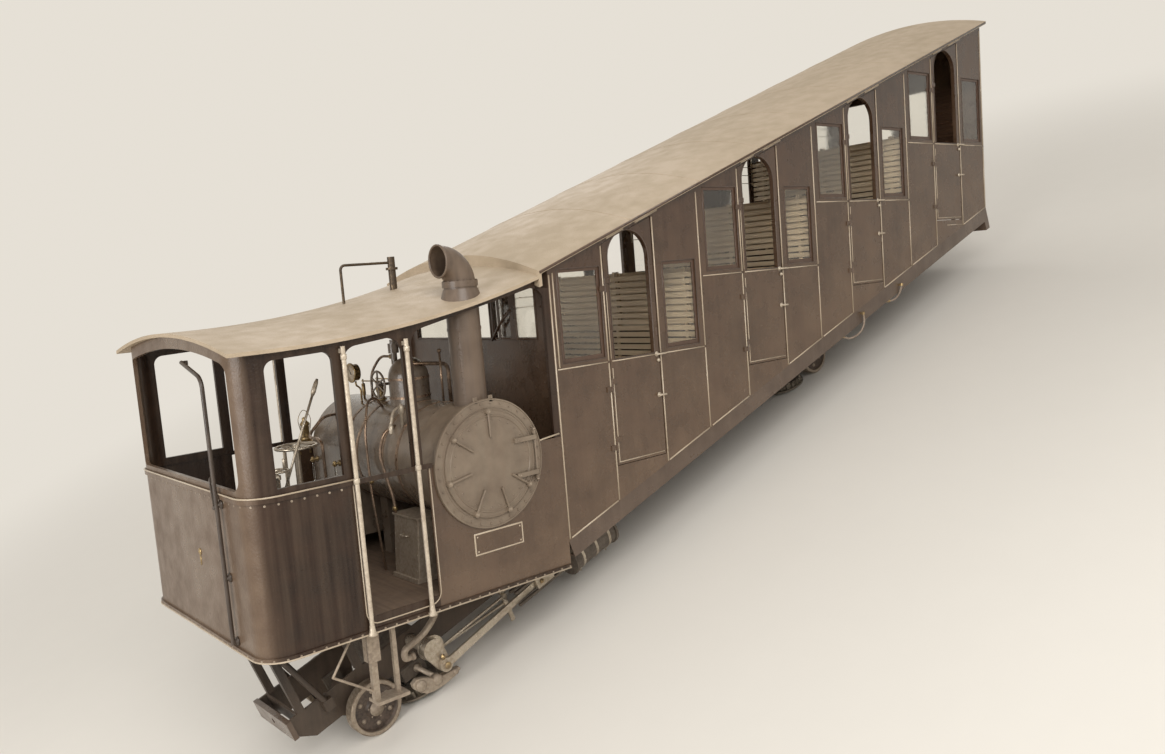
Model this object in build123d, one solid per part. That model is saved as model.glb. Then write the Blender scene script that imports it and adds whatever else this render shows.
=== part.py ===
"""Steam rack railcar for a steep mountain line, in millimetres.

Chassis frame: +X uphill along the track, +Y across to the far side, +Z square to the track.
The origin lies on the track plane, under the middle of the car.
The body stands at a lean to the chassis, so that its floors are level on the slope.
Body frame: x level and uphill, y across, z plumb, from the foot of the passenger bulkhead
on the top of the side sills. Every body piece is drawn upright there and then leaned.
"""
import os
from math import cos, radians, sin, sqrt, tan

from build123d import *

# Body lean and main widths
BODY_LEAN = 19.8
BODY_WIDTH = 2200.0
ROOF_OVERHANG = 60.0

# Running gear on the track
WHEEL_RADIUS = 215.0
WHEEL_WIDTH = 90.0
TYRE_THICKNESS = 34.0
WHEEL_GAUGE = 800.0
AXLE_RADIUS = 45.0
WHEELBASE = 6100.0
LOWER_AXLE_TO_FOOT = 1756.0
RUNNING_CLEARANCE = 0.05
HUB_RADIUS = 85.0
HUB_WIDTH = 130.0
DISC_THICKNESS = 24.0

# Rack pinions on plumb shafts, one each side of the rack
PINION_RADIUS = 205.0
PINION_TEETH = 20
TOOTH_HEIGHT = 24.0
PINION_BOTTOM = 58.0
PINION_FACE = 52.0
GUIDE_DISC_RADIUS = 236.0
GUIDE_DISC_THICKNESS = 16.0
PINION_SPREAD = 250.0
PINION_AXLE_OFFSET = 435.0
PINION_SHAFT_RADIUS = 30.0
PINION_SHAFT_TOP = 235.0

# Main frame between the wheels
PLATE_THICKNESS = 20.0
PLATE_INNER = 270.0
PLATE_BOTTOM = 262.0
PLATE_TOP = 505.0
HORN_BOTTOM = 120.0
HORN_HALF = 150.0
AXLE_BOX_HALF = 74.0
AXLE_BOX_TOP = 320.0
FRAME_FRONT_OVERHANG = 560.0
FRAME_REAR_OVERHANG = 900.0
STRETCHER_THICKNESS = 16.0
BRACE_RADIUS = 24.0
BRACE_INSET = 110.0
BRACE_FOOT = 290.0

# Side sills and cross members
SILL_TOP = 700.0
SILL_DEPTH = 150.0
SILL_THICKNESS = 60.0
SILL_WEB = 14.0
END_BEAM_DEPTH = 110.0
DRAW_HOLE_RADIUS = 22.0
CROSS_DEPTH = 110.0
CROSS_WIDTH = 70.0
CROSS_WEB = 12.0
CROSS_PLACES = (0.22, 0.58)

# Passenger body, levels above the sill top at the foot of each compartment
COMPARTMENTS = 4
COMPARTMENT_PITCH = 1750.0
WALL_THICKNESS = 40.0
FLOOR_RISE = 502.0
FLOOR_THICKNESS = 25.0
WAIST_RISE = 1372.0
EAVES_RISE = 2198.0
CANT_RAIL_DEPTH = 62.0
DOOR_START = 585.0
DOOR_WIDTH = 583.0
HINGE_GAP = 6.0
LATCH_GAP = 9.0
DOOR_SILL_GAP = 6.0
DOOR_STILE = 56.0
DOOR_SPRINGING = 846.0
KNUCKLE_RADIUS = 9.0
KNUCKLE_LENGTH = 60.0
HINGE_PIN_RADIUS = 4.0
HINGE_PLAY = 1.0
HINGE_STRAP = 60.0
WINDOW_BOTTOM = 45.0
WINDOW_HEIGHT = 750.0
GLASS_THICKNESS = 6.0

# Panes of one compartment: before the door from its start, and between the door and its end
PANE_START = 90.0
PANE_WIDTH = 455.0
PANE_AFTER_DOOR = 94.0
PANE_BEFORE_END = 66.0

# Windows of the front bulkhead and rear wall: y of each edge
BULKHEAD_WINDOWS = ((-900.0, -330.0), (-270.0, 270.0), (330.0, 900.0))
BULKHEAD_WINDOW_BOTTOM = 1640.0
BULKHEAD_WINDOW_TOP = 2060.0
REAR_WINDOWS = ((-850.0, -120.0), (120.0, 850.0))

# Roof of the passenger body
ROOF_THICKNESS = 30.0
ROOF_RISE = 176.0
ROOF_FRONT_OVERHANG = 130.0
ROOF_REAR_OVERHANG = 45.0
ROOF_BAND_DEPTH = 118.0
ROOF_BAND_THICKNESS = 30.0

# Benches
BENCH_DEPTH = 430.0
BENCH_HEIGHT = 430.0
BENCH_BACK_TOP = 930.0
SLAT_WIDTH = 45.0
SLAT_GAP = 15.0
SLAT_THICKNESS = 18.0
BENCH_SIDE_GAP = 12.0
BENCH_FRAME_WIDTH = 36.0
PARTITION_THICKNESS = 24.0

# Driver's cab, along the car: side panel, doorway, boiler bay
CAB_PANEL = 735.0
CAB_DOORWAY = 572.0
BOILER_BAY = 1228.0
CAB_CORNER_RADIUS = 200.0
CAB_SHEET = 8.0
CAB_BOTTOM = -214.0
CAB_FLOOR_TOP = -95.0
CAB_FLOOR_THICKNESS = 40.0
BELT_RISE = 852.0
BELT_RAIL_HEIGHT = 34.0
BELT_RAIL_THICKNESS = 14.0
FRAME_THICKNESS = 30.0
CAB_EAVES = 1782.0
CAB_ROOF_THICKNESS = 25.0
CAB_ROOF_RISE = 130.0
CAB_ROOF_LEVEL = 135.0
CAB_ROOF_SWEEP = 8200.0
CAB_ROOF_FRONT_OVERHANG = 45.0
FRONT_PILLAR = 140.0
TOP_RAIL = 52.0

# Handrail on the cab front and grab posts beside the cab doors
HANDRAIL_RADIUS = 14.0
HANDRAIL_STAND = 34.0
HANDRAIL_FOOT = 60.0
HANDRAIL_Y = -640.0
HANDRAIL_TOP = 1740.0
POST_RADIUS = 16.0
POST_STAND = 34.0
POST_INSET = 94.0
POST_TOP = 1770.0
POST_LUG = 15.0

# Posts between the upper openings of a cab side, from the doorway's edges
DOORWAY_POST_OUT = 68.0
DOORWAY_POST_IN = 12.0
SHEET_POST_OUT = 112.0
SHEET_POST_IN = 34.0
LAST_POST = 60.0
SIDE_WINDOW_CORNER = 70.0
DOORWAY_CORNER = 110.0

# Boiler, across the car
BOILER_OFFSET = 86.0
BOILER_Z = 772.0
BOILER_RADIUS = 430.0
SMOKEBOX_RADIUS = 455.0
SMOKEBOX_WALL = 12.0
SMOKEBOX_LENGTH = 330.0
FLANGE_RADIUS = 485.0
FLANGE_THICKNESS = 18.0
SMOKEBOX_MOUTH = 385.0
DOOR_DISC_RADIUS = 405.0
DOOR_DISC_THICKNESS = 10.0
DOOR_DISC_DOME = 20.0
SMOKEBOX_HINGE_OFFSET = 412.0
SMOKEBOX_HINGE_STAND = 25.0
SMOKEBOX_PIN_RADIUS = 8.0
SMOKEBOX_STRAP_RISE = 135.0
SMOKEBOX_STRAP_START = 210.0
SMOKEBOX_STRAP_FOOT = 44.0
SMOKEBOX_STRAP_HALF = 17.0
SMOKEBOX_EYE_RADIUS = 16.0
SMOKEBOX_LUG_RISE = 175.0
SMOKEBOX_LUG_HALF = 15.0
DOME_Y = -50.0
DOME_RADIUS = 165.0
DOME_SPRINGING = 190.0
TURRET_X = -730.0
TURRET_Y = 100.0
TURRET_RADIUS = 26.0
TURRET_TOP = 1700.0
STEAM_WHEEL_X = -903.0
STEAM_WHEEL_Z = 1345.0
STEAM_WHEEL_RADIUS = 112.0
STEAM_WHEEL_RIM = 9.0
FIREBOX_LENGTH = 560.0
FIREBOX_BOTTOM = 60.0

# Clamps round the smokebox door: turns from the uphill side, heads and their levers towards the middle
CLAMP_TURNS = (90, 144, 192, 243, 288, 326)
CLAMP_INSET = 14.0
CLAMP_HEAD_RADIUS = 22.0
CLAMP_HEAD_REACH = 36.0
CLAMP_LEVER_RADIUS = 9.0
CLAMP_LEVER_LENGTH = 190.0
CLAMP_LEVER_STAND = 27.0
CLAMP_LEVER_SPLAY = 10.0

# Chimney above the smokebox and its elbow
CHIMNEY_RADIUS = 125.0
CHIMNEY_WALL = 7.0
CHIMNEY_INSET = 168.0
CHIMNEY_TOP = 2118.0
ELBOW_RADIUS = 116.0
ELBOW_BEND = 172.0
COLLAR_RADIUS = 134.0
COLLAR_HEIGHT = 26.0
ROOF_PLATE_RADIUS = 168.0

# Engine outside the frame
CYLINDER_RADIUS = 150.0
CYLINDER_LENGTH = 470.0
CYLINDER_Y = 660.0
ENGINE_Z = 330.0
SHAFT_LIFT = 90.0
CRANK_TO_AXLE = 528.0
CRANK_THROW = 160.0
NEAR_CRANK_TURN = -78.0
FAR_CRANK_TURN = 12.0
CRANK_HUB_RADIUS = 85.0
CRANK_EYE_RADIUS = 58.0
CRANKSHAFT_RADIUS = 48.0
CRANK_THICKNESS = 50.0
CRANK_PIN_RADIUS = 30.0
ROD_LENGTH = 1050.0
ROD_THICKNESS = 34.0
BIG_END_RADIUS = 56.0
SMALL_END_RADIUS = 42.0
GUDGEON_RADIUS = 22.0
CROSSHEAD_LENGTH = 130.0
CROSSHEAD_HALF = 46.0
GUIDE_BAR_WIDTH = 26.0
GUIDE_BAR_HEIGHT = 22.0
GUIDE_BAR_SPREAD = 33.0
PISTON_ROD_RADIUS = 20.0
PISTON_GLAND_LENGTH = 60.0
CYLINDER_STAND = 80.0
CYLINDER_FLANGE = 24.0
CYLINDER_FLANGE_RISE = 14.0
CHEST_HALF = 90.0

# Valve gear beside each crank: turn and distance across of each eccentric
ECCENTRIC_RADIUS = 82.0
ECCENTRIC_THROW = 30.0
ECCENTRIC_STRAP = 18.0
ECCENTRIC_WIDTH = 28.0
FORWARD_ECCENTRIC = (-31.0, 567.0)
BACKWARD_ECCENTRIC = (-46.0, 530.0)
VALVE_ROD_RADIUS = 11.0
LINK_SETBACK = 776.0
LINK_TOP = 418.0
LINK_BOTTOM = 112.0
FORWARD_ROD_END = 362.0
BACKWARD_ROD_END = 284.0
LINK_HALF = 18.0
LINK_INNER = 538.0
LINK_OUTER = 559.0
LINK_SHAFT_RADIUS = 18.0
LINK_SHAFT_Z = 392.0
SPINDLE_Y = 600.0
SPINDLE_Z = 440.0
SPINDLE_GLAND_RADIUS = 26.0
SPINDLE_GLAND_LENGTH = 44.0
SPINDLE_LENGTH = 150.0

# Rubber hoses slung under the near sill, their fittings and routes.
# Each point: distance along the chassis from the body's foot, out from the sill's face, height above the track.
HOSE_DIAMETER = 22.0
HOSE_GLAND_RADIUS = 17.0
HOSE_GLAND_LENGTH = 26.0
HOSE_LONG_ROUTE = (
    (4458, 26, 634), (4458, 22, 568), (4422, 14, 506), (4360, 4, 470),
    (4286, -6, 462), (4212, -14, 472), (4146, -20, 498), (4100, -24, 540),
)
HOSE_SHORT_ROUTE = (
    (5258, 26, 610), (5225, 16, 553), (5163, 4, 517), (5091, -8, 510), (5030, -16, 532),
)

# Whistle pipe on the cab roof, body frame: start, rise and run of the pipe
PIPE_RADIUS = 11.0
PIPE_Y = 0.0
PIPE_SETBACK = 480.0
PIPE_TOP = 2330.0
PIPE_RUN = 424.0
PIPE_BEND = 40.0

# Brake column and driver's levers, body frame
COLUMN_SETBACK = 975.0
COLUMN_Y = 330.0
COLUMN_RADIUS = 26.0
COLUMN_TOP = 920.0
HANDWHEEL_RADIUS = 160.0
HANDWHEEL_RIM = 12.0
LEVER_SETBACK = 355.0

# Step below each cab doorway, body frame: two hangers, tread and stay
STEP_Y = 1000.0
STEP_BRACKET = (-1802.0, -1712.0, 40.0, -440.0)
STEP_HANGER = (-1779.0, -1735.0, 22.0, -744.0)
STEP_THIN_HANGER = (-1601.0, -1569.0, 16.0, -722.0)
STEP_TREAD = (-1780.0, -1530.0, 70.0, -745.0)
STEP_TREAD_THICKNESS = 25.0
STEP_STAY = ((-1824.0, -125.0), (-2061.0, -462.0), (-1765.0, -663.0))
STEP_STAY_RADIUS = 9.0

# Small gap where one piece rests on another
SEAT = 0.3

# Worked-out places
LEAN = radians(BODY_LEAN)
STEP = COMPARTMENT_PITCH * tan(LEAN)
SLOPE_PITCH = COMPARTMENT_PITCH / cos(LEAN)
HALF_WIDTH = BODY_WIDTH / 2
HALF_ROOF = HALF_WIDTH + ROOF_OVERHANG
ARCH_RADIUS = (HALF_ROOF ** 2 + ROOF_RISE ** 2) / (2 * ROOF_RISE)
EAVES_DROP = sqrt(ARCH_RADIUS ** 2 - HALF_WIDTH ** 2) - sqrt(ARCH_RADIUS ** 2 - HALF_ROOF ** 2)
BODY_LENGTH = COMPARTMENTS * COMPARTMENT_PITCH
EAVES_Z = SILL_TOP + EAVES_RISE * cos(LEAN)
CAB_DOOR_FAR_EDGE = BOILER_BAY
CAB_DOOR_NEAR_EDGE = BOILER_BAY + CAB_DOORWAY
CAB_LENGTH = CAB_DOOR_NEAR_EDGE + CAB_PANEL
CAB_ROOF_FLAT_END = CAB_LENGTH - CAB_ROOF_LEVEL
POST_PLACES = (-CAB_DOOR_NEAR_EDGE, -CAB_DOOR_FAR_EDGE - POST_INSET)
BOILER_X = -BOILER_BAY / 2 - BOILER_OFFSET
CHIMNEY_Y = CHIMNEY_INSET - HALF_WIDTH
PIPE_FOOT_X = BOILER_X - PIPE_SETBACK
PIPE_END_X = PIPE_FOOT_X + PIPE_RUN
COLUMN_X = COLUMN_SETBACK - CAB_LENGTH
LEVER_QUADRANT_X = LEVER_SETBACK - CAB_LENGTH

# Upper openings of each cab side: downhill edge, uphill edge, corner radius
CAB_SIDE_OPENINGS = (
    (CAB_LENGTH - CAB_CORNER_RADIUS, CAB_DOOR_NEAR_EDGE + DOORWAY_POST_OUT, SIDE_WINDOW_CORNER),
    (CAB_DOOR_NEAR_EDGE - DOORWAY_POST_IN, CAB_DOOR_FAR_EDGE + SHEET_POST_OUT, DOORWAY_CORNER),
    (CAB_DOOR_FAR_EDGE + SHEET_POST_IN, LAST_POST, DOORWAY_CORNER),
)
ROOF_TOP_EDGE = EAVES_RISE + ROOF_THICKNESS / cos(LEAN)


def leaned_x(x, z):
    """Distance along the chassis, from the body's foot, of a point of the body frame."""
    return x * cos(LEAN) + z * sin(LEAN)


FRONT_REACH = leaned_x(-CAB_LENGTH - HANDRAIL_STAND - HANDRAIL_RADIUS, CAB_BOTTOM + HANDRAIL_FOOT)
ROOF_REAR_X = BODY_LENGTH + ROOF_REAR_OVERHANG
ROOF_CREST = EAVES_Z - EAVES_DROP + ROOF_THICKNESS + ROOF_RISE
ROOF_REAR_Z = (ROOF_CREST - SILL_TOP + ROOF_REAR_X * sin(LEAN)) / cos(LEAN)
REAR_REACH = leaned_x(ROOF_REAR_X, ROOF_REAR_Z)
FOOT_X = -(FRONT_REACH + REAR_REACH) / 2
LOWER_AXLE_X = FOOT_X - LOWER_AXLE_TO_FOOT
UPPER_AXLE_X = LOWER_AXLE_X + WHEELBASE
CRANK_X = LOWER_AXLE_X + CRANK_TO_AXLE
SHAFT_Z = ENGINE_Z + SHAFT_LIFT
CYLINDER_FRONT = CRANK_X + ROD_LENGTH + CRANK_THROW + CROSSHEAD_LENGTH + CYLINDER_STAND
BODY = Pos(FOOT_X, 0, SILL_TOP) * Rot(0, BODY_LEAN, 0)
SILL_FRONT = FOOT_X
SILL_REAR = FOOT_X + BODY_LENGTH / cos(LEAN)

REAR_PANE_START = DOOR_START + DOOR_WIDTH + PANE_AFTER_DOOR
PANES = (
    (PANE_START, PANE_WIDTH),
    (REAR_PANE_START, COMPARTMENT_PITCH - PANE_BEFORE_END - REAR_PANE_START),
)

NODES = {}


def block(x0, x1, y0, y1, z0, z1):
    """Box between two corners."""
    centre = Pos((x0 + x1) / 2, (y0 + y1) / 2, (z0 + z1) / 2)
    return centre * Box(abs(x1 - x0), abs(y1 - y0), abs(z1 - z0))


def rod_y(x, y0, y1, z, radius):
    """Cylinder across the car."""
    return Pos(x, (y0 + y1) / 2, z) * Rot(90, 0, 0) * Cylinder(radius, abs(y1 - y0))


def rod_z(x, y, z0, z1, radius):
    """Upright cylinder."""
    return Pos(x, y, (z0 + z1) / 2) * Cylinder(radius, abs(z1 - z0))


def rod_x(x0, x1, y, z, radius):
    """Cylinder along the car."""
    return Pos((x0 + x1) / 2, y, z) * Rot(0, 90, 0) * Cylinder(radius, abs(x1 - x0))


def bar(start, end, radius):
    """Round bar between two points."""
    a, b = Vector(*start), Vector(*end)
    return Solid.make_cylinder(radius, (b - a).length, Plane(a, z_dir=b - a))


def plate_xz(points, y0, y1):
    """Flat plate with an outline in X and Z, between two places across."""
    face = make_face(Polyline(*points, close=True))
    return extrude(Plane((0, y1, 0), x_dir=(1, 0, 0), z_dir=(0, -1, 0)) * face, y1 - y0)


def both_sides(shape):
    """A piece and its twin on the other side of the car."""
    return [shape, mirror(shape, about=Plane.XZ)]


def lean(shape):
    """Set an upright body piece on the leaning body."""
    return BODY * shape


def keep(name, *shapes):
    """Store the solids of one node, fused where they touch."""
    solids = []
    for shape in shapes:
        items = shape if isinstance(shape, (list, tuple)) else [shape]
        for item in items:
            solids.extend(item.solids())
    NODES[name] = Compound(children=solids) if len(solids) > 1 else solids[0]


def arch_face(half, rise, thickness, z):
    """Cross section of an arched sheet, drawn in Y and Z."""
    top = ThreePointArc((-half, z + thickness), (0, z + thickness + rise), (half, z + thickness))
    under = ThreePointArc((-half, z), (0, z + rise), (half, z))
    sides = [Line(top @ 0, under @ 0), Line(top @ 1, under @ 1)]
    return make_face([top, under] + sides)


def section_plane(x, z=0.0):
    """Plane across the car, local x to the far side, local y up."""
    return Plane((x, 0, z), x_dir=(0, 1, 0), z_dir=(1, 0, 0))


def wheelset(axle_x):
    """Two flangeless wheels on their axle, as one piece."""
    rim_inner = WHEEL_RADIUS - TYRE_THICKNESS
    profile = [
        (0, 0), (AXLE_RADIUS * 1.2, 0), (AXLE_RADIUS * 1.2, 6), (HUB_RADIUS * 0.8, 10),
        (HUB_RADIUS, 30), (rim_inner - 12, 30), (rim_inner, 12), (rim_inner, 0),
        (WHEEL_RADIUS - 3, 0), (WHEEL_RADIUS, 3), (WHEEL_RADIUS, WHEEL_WIDTH),
        (rim_inner, WHEEL_WIDTH), (rim_inner - 6, 30 + DISC_THICKNESS), (HUB_RADIUS, 30 + DISC_THICKNESS),
        (HUB_RADIUS, HUB_WIDTH - 20), (0, HUB_WIDTH - 20),
    ]
    face = make_face(Polyline(*profile, close=True))
    outer_y = WHEEL_GAUGE / 2 + WHEEL_WIDTH / 2
    turned = revolve(Plane((0, 0, 0), x_dir=(1, 0, 0), z_dir=(0, 0, 1)) * face, Axis.Y)
    wheel = Pos(axle_x, -outer_y, WHEEL_RADIUS) * turned
    axle = rod_y(axle_x, -outer_y + 20, outer_y - 20, WHEEL_RADIUS, AXLE_RADIUS)
    return axle + wheel + mirror(wheel, about=Plane.XZ)


def pinion(x, side):
    """Rack pinion with its guide disc below and its plumb shaft above."""
    y = side * PINION_SPREAD
    root = PINION_RADIUS - TOOTH_HEIGHT / 2
    body = Cylinder(root, PINION_FACE)
    base_width = 3.1416 * PINION_RADIUS / PINION_TEETH * 1.1
    tooth = make_face(Polyline(
        (root - 8, -base_width / 2), (root + TOOTH_HEIGHT, -base_width / 4),
        (root + TOOTH_HEIGHT, base_width / 4), (root - 8, base_width / 2), close=True))
    tooth = Pos(0, 0, -PINION_FACE / 2) * extrude(tooth, PINION_FACE)
    teeth = [Rot(0, 0, turn * 360 / PINION_TEETH) * tooth for turn in range(PINION_TEETH)]
    body = body + teeth
    body = Pos(x, y, PINION_BOTTOM + PINION_FACE / 2) * body
    disc = rod_z(x, y, PINION_BOTTOM - GUIDE_DISC_THICKNESS, PINION_BOTTOM, GUIDE_DISC_RADIUS)
    shaft = rod_z(x, y, PINION_BOTTOM, PINION_SHAFT_TOP, PINION_SHAFT_RADIUS)
    return body + disc + shaft


def gear_case(x, top, crank_bore):
    """Cast case between the frame plates, bored for the pinion shafts."""
    side_face = PLATE_INNER - SEAT
    upper = block(x - 170, x + 170, -side_face, side_face, PLATE_BOTTOM - 60, top)
    lower = block(x - 110, x + 110, -PINION_SPREAD - 75, PINION_SPREAD + 75, 150, PLATE_BOTTOM - SEAT)
    case = upper + lower
    for side in (-1, 1):
        bore = rod_z(x, side * PINION_SPREAD, 100, PINION_SHAFT_TOP + 5, PINION_SHAFT_RADIUS + RUNNING_CLEARANCE)
        case = case - bore
    if crank_bore:
        case = case - rod_y(CRANK_X, -400, 400, SHAFT_Z, CRANKSHAFT_RADIUS + RUNNING_CLEARANCE)
    return case


def build_chassis():
    """Frame plates, stretchers, sills, cross members and end beams."""
    front = LOWER_AXLE_X - FRAME_FRONT_OVERHANG
    rear = UPPER_AXLE_X + FRAME_REAR_OVERHANG
    outline = [(front, PLATE_TOP), (front, PLATE_BOTTOM + 90), (front + 120, PLATE_BOTTOM)]
    for axle in (LOWER_AXLE_X, UPPER_AXLE_X):
        outline += [
            (axle - HORN_HALF - 60, PLATE_BOTTOM), (axle - HORN_HALF, PLATE_BOTTOM - 60),
            (axle - HORN_HALF, HORN_BOTTOM), (axle - AXLE_BOX_HALF - SEAT, HORN_BOTTOM),
            (axle - AXLE_BOX_HALF - SEAT, AXLE_BOX_TOP + SEAT), (axle + AXLE_BOX_HALF + SEAT, AXLE_BOX_TOP + SEAT),
            (axle + AXLE_BOX_HALF + SEAT, HORN_BOTTOM), (axle + HORN_HALF, HORN_BOTTOM),
            (axle + HORN_HALF, PLATE_BOTTOM - 60), (axle + HORN_HALF + 60, PLATE_BOTTOM),
        ]
    outline += [(rear - 200, PLATE_BOTTOM), (rear, PLATE_BOTTOM + 130), (rear, PLATE_TOP)]
    plate = plate_xz(outline, -PLATE_INNER - PLATE_THICKNESS, -PLATE_INNER)
    plate = plate - rod_y(CRANK_X, -400, -200, SHAFT_Z, CRANKSHAFT_RADIUS + 4)
    stretchers = []
    for x in (front + 60, LOWER_AXLE_X + 1200, LOWER_AXLE_X + 2400, UPPER_AXLE_X - 1150, rear - 60):
        web = block(x, x + STRETCHER_THICKNESS, -PLATE_INNER, PLATE_INNER, PLATE_BOTTOM + 110, PLATE_TOP)
        stretchers.append(web)
    keep("frame_plates", both_sides(plate))
    keep("frame_stretchers", stretchers)

    sill = block(SILL_FRONT, SILL_REAR, -HALF_WIDTH, -HALF_WIDTH + SILL_THICKNESS, SILL_TOP - SILL_DEPTH, SILL_TOP)
    groove = block(SILL_FRONT - 1, SILL_REAR + 1, -HALF_WIDTH + SILL_WEB, -HALF_WIDTH + SILL_THICKNESS + 1,
                   SILL_TOP - SILL_DEPTH + SILL_WEB, SILL_TOP - SILL_WEB)
    keep("side_sills", both_sides(sill - groove))

    cross_top = SILL_TOP - 20
    cross_y = HALF_WIDTH - SILL_WEB - SEAT
    members = []
    for index in range(COMPARTMENTS):
        for place in CROSS_PLACES:
            x = FOOT_X + (index + place) * SLOPE_PITCH
            member = block(x, x + CROSS_WIDTH, -cross_y, cross_y, cross_top - CROSS_DEPTH, cross_top)
            hollow = block(x + CROSS_WEB, x + CROSS_WIDTH + 1, -cross_y - 1, cross_y + 1,
                           cross_top - CROSS_DEPTH + CROSS_WEB, cross_top - CROSS_WEB)
            pad = block(x, x + CROSS_WIDTH, -PLATE_INNER - PLATE_THICKNESS, PLATE_INNER + PLATE_THICKNESS,
                        PLATE_TOP + SEAT, cross_top - CROSS_DEPTH)
            members.append((member - hollow) + pad)
    keep("cross_members", members)

    end = SILL_REAR
    beam_top = SILL_TOP - SILL_DEPTH - SEAT
    beam = block(end - 90, end, -HALF_WIDTH, HALF_WIDTH, beam_top - END_BEAM_DEPTH, beam_top)
    beam = beam - rod_x(end - 200, end + 50, 0, beam_top - END_BEAM_DEPTH / 2, DRAW_HOLE_RADIUS)
    nose_bottom = PLATE_BOTTOM + 90
    nose = block(front - 40, front - SEAT, -PLATE_INNER - 40, PLATE_INNER + 40, nose_bottom, PLATE_TOP)
    nose = nose - rod_x(front - 100, front + 50, 0, (nose_bottom + PLATE_TOP) / 2, DRAW_HOLE_RADIUS)
    keep("end_beams", beam, nose)


def build_running_gear():
    """Wheelsets, axle boxes, pinions and their cases."""
    keep("wheelset_lower", wheelset(LOWER_AXLE_X))
    keep("wheelset_upper", wheelset(UPPER_AXLE_X))
    boxes = []
    for axle in (LOWER_AXLE_X, UPPER_AXLE_X):
        box = block(axle - AXLE_BOX_HALF, axle + AXLE_BOX_HALF, -PLATE_INNER - 50, -PLATE_INNER + 40,
                    HORN_BOTTOM, AXLE_BOX_TOP)
        box = box - rod_y(axle, -500, 0, WHEEL_RADIUS, AXLE_RADIUS + RUNNING_CLEARANCE)
        boxes += both_sides(box)
    keep("axle_boxes", boxes)
    drive_x = LOWER_AXLE_X + PINION_AXLE_OFFSET
    brake_x = UPPER_AXLE_X - PINION_AXLE_OFFSET
    keep("drive_gear_case", gear_case(drive_x, PLATE_TOP - 15, True))
    keep("brake_gear_case", gear_case(brake_x, PLATE_TOP - 70, False))
    for side, label in ((-1, "near"), (1, "far")):
        keep("drive_pinion_" + label, pinion(drive_x, side))
        keep("brake_pinion_" + label, pinion(brake_x, side))


def crank_web(pin_x, pin_z, low_y):
    """Crank cheek from the shaft to its pin, on the far side of a place across the car."""
    web = make_hull([
        Pos(CRANK_X, SHAFT_Z) * CenterArc((0, 0), CRANK_HUB_RADIUS, 0, 360),
        Pos(pin_x, pin_z) * CenterArc((0, 0), CRANK_EYE_RADIUS, 0, 360)])
    web_face = web if isinstance(web, Face) else make_face(web.edges())
    plane = Plane((0, low_y + CRANK_THICKNESS, 0), x_dir=(1, 0, 0), z_dir=(0, -1, 0))
    return extrude(plane * web_face, CRANK_THICKNESS)


def connecting_rod(pin_x, pin_z, end_x, y):
    """Rod from a crank pin to its crosshead."""
    y0, y1 = y - ROD_THICKNESS / 2, y + ROD_THICKNESS / 2
    big_end = rod_y(pin_x, y0, y1, pin_z, BIG_END_RADIUS)
    small_end = rod_y(end_x, y0, y1, ENGINE_Z, SMALL_END_RADIUS)
    outline = [(pin_x, pin_z - 34), (pin_x, pin_z + 34), (end_x, ENGINE_Z + 24), (end_x, ENGINE_Z - 24)]
    rod = big_end + small_end + plate_xz(outline, y0 + 5, y1 - 5)
    rod = rod - rod_y(pin_x, y0 - 1, y1 + 1, pin_z, CRANK_PIN_RADIUS + RUNNING_CLEARANCE)
    return rod - rod_y(end_x, y0 - 1, y1 + 1, ENGINE_Z, GUDGEON_RADIUS + RUNNING_CLEARANCE)


def crosshead(end_x, y):
    """Forked crosshead with its gudgeon pin and piston rod."""
    fork = ROD_THICKNESS / 2 + 1
    half = CROSSHEAD_HALF
    head = block(end_x - 55, end_x + CROSSHEAD_LENGTH, y - half, y + half, ENGINE_Z - half, ENGINE_Z + half)
    head = head - block(end_x - 60, end_x + 62, y - fork, y + fork, ENGINE_Z - half - 1, ENGINE_Z + half + 1)
    head = head + rod_y(end_x, y - half, y + half, ENGINE_Z, GUDGEON_RADIUS)
    rod_stop = CYLINDER_FRONT - PISTON_GLAND_LENGTH
    return head + rod_x(end_x + CROSSHEAD_LENGTH, rod_stop, y, ENGINE_Z, PISTON_ROD_RADIUS)


def cylinder(side):
    """Cylinder with its flanges, glands, steam chest, foot on the frame and four guide bars."""
    y = side * CYLINDER_Y
    front, rear = CYLINDER_FRONT, CYLINDER_FRONT + CYLINDER_LENGTH
    flange = CYLINDER_RADIUS + CYLINDER_FLANGE_RISE
    casting = rod_x(front, rear, y, ENGINE_Z, CYLINDER_RADIUS)
    casting = casting + rod_x(front - CYLINDER_FLANGE, front, y, ENGINE_Z, flange)
    casting = casting + rod_x(rear, rear + CYLINDER_FLANGE, y, ENGINE_Z, flange)
    casting = casting + rod_x(front - PISTON_GLAND_LENGTH + SEAT, front, y, ENGINE_Z, SMALL_END_RADIUS)
    casting = casting + rod_x(front - SPINDLE_GLAND_LENGTH + SEAT, front + 60, side * SPINDLE_Y, SPINDLE_Z,
                              SPINDLE_GLAND_RADIUS)
    casting = casting + block(front + 60, rear - 60, side * (PLATE_INNER + PLATE_THICKNESS + SEAT),
                              side * (CYLINDER_Y - 60), ENGINE_Z - 70, ENGINE_Z + 120)
    casting = casting + block(front + 40, rear - 40, y - CHEST_HALF, y + CHEST_HALF, ENGINE_Z + 80, PLATE_TOP - 20)
    guide_start = CRANK_X + ROD_LENGTH - CRANK_THROW - 80
    low = CROSSHEAD_HALF + SEAT
    for middle in (y - GUIDE_BAR_SPREAD, y + GUIDE_BAR_SPREAD):
        y0, y1 = middle - GUIDE_BAR_WIDTH / 2, middle + GUIDE_BAR_WIDTH / 2
        for z in (ENGINE_Z - low - GUIDE_BAR_HEIGHT, ENGINE_Z + low):
            casting = casting + block(guide_start, front, y0, y1, z, z + GUIDE_BAR_HEIGHT)
    return casting


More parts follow.
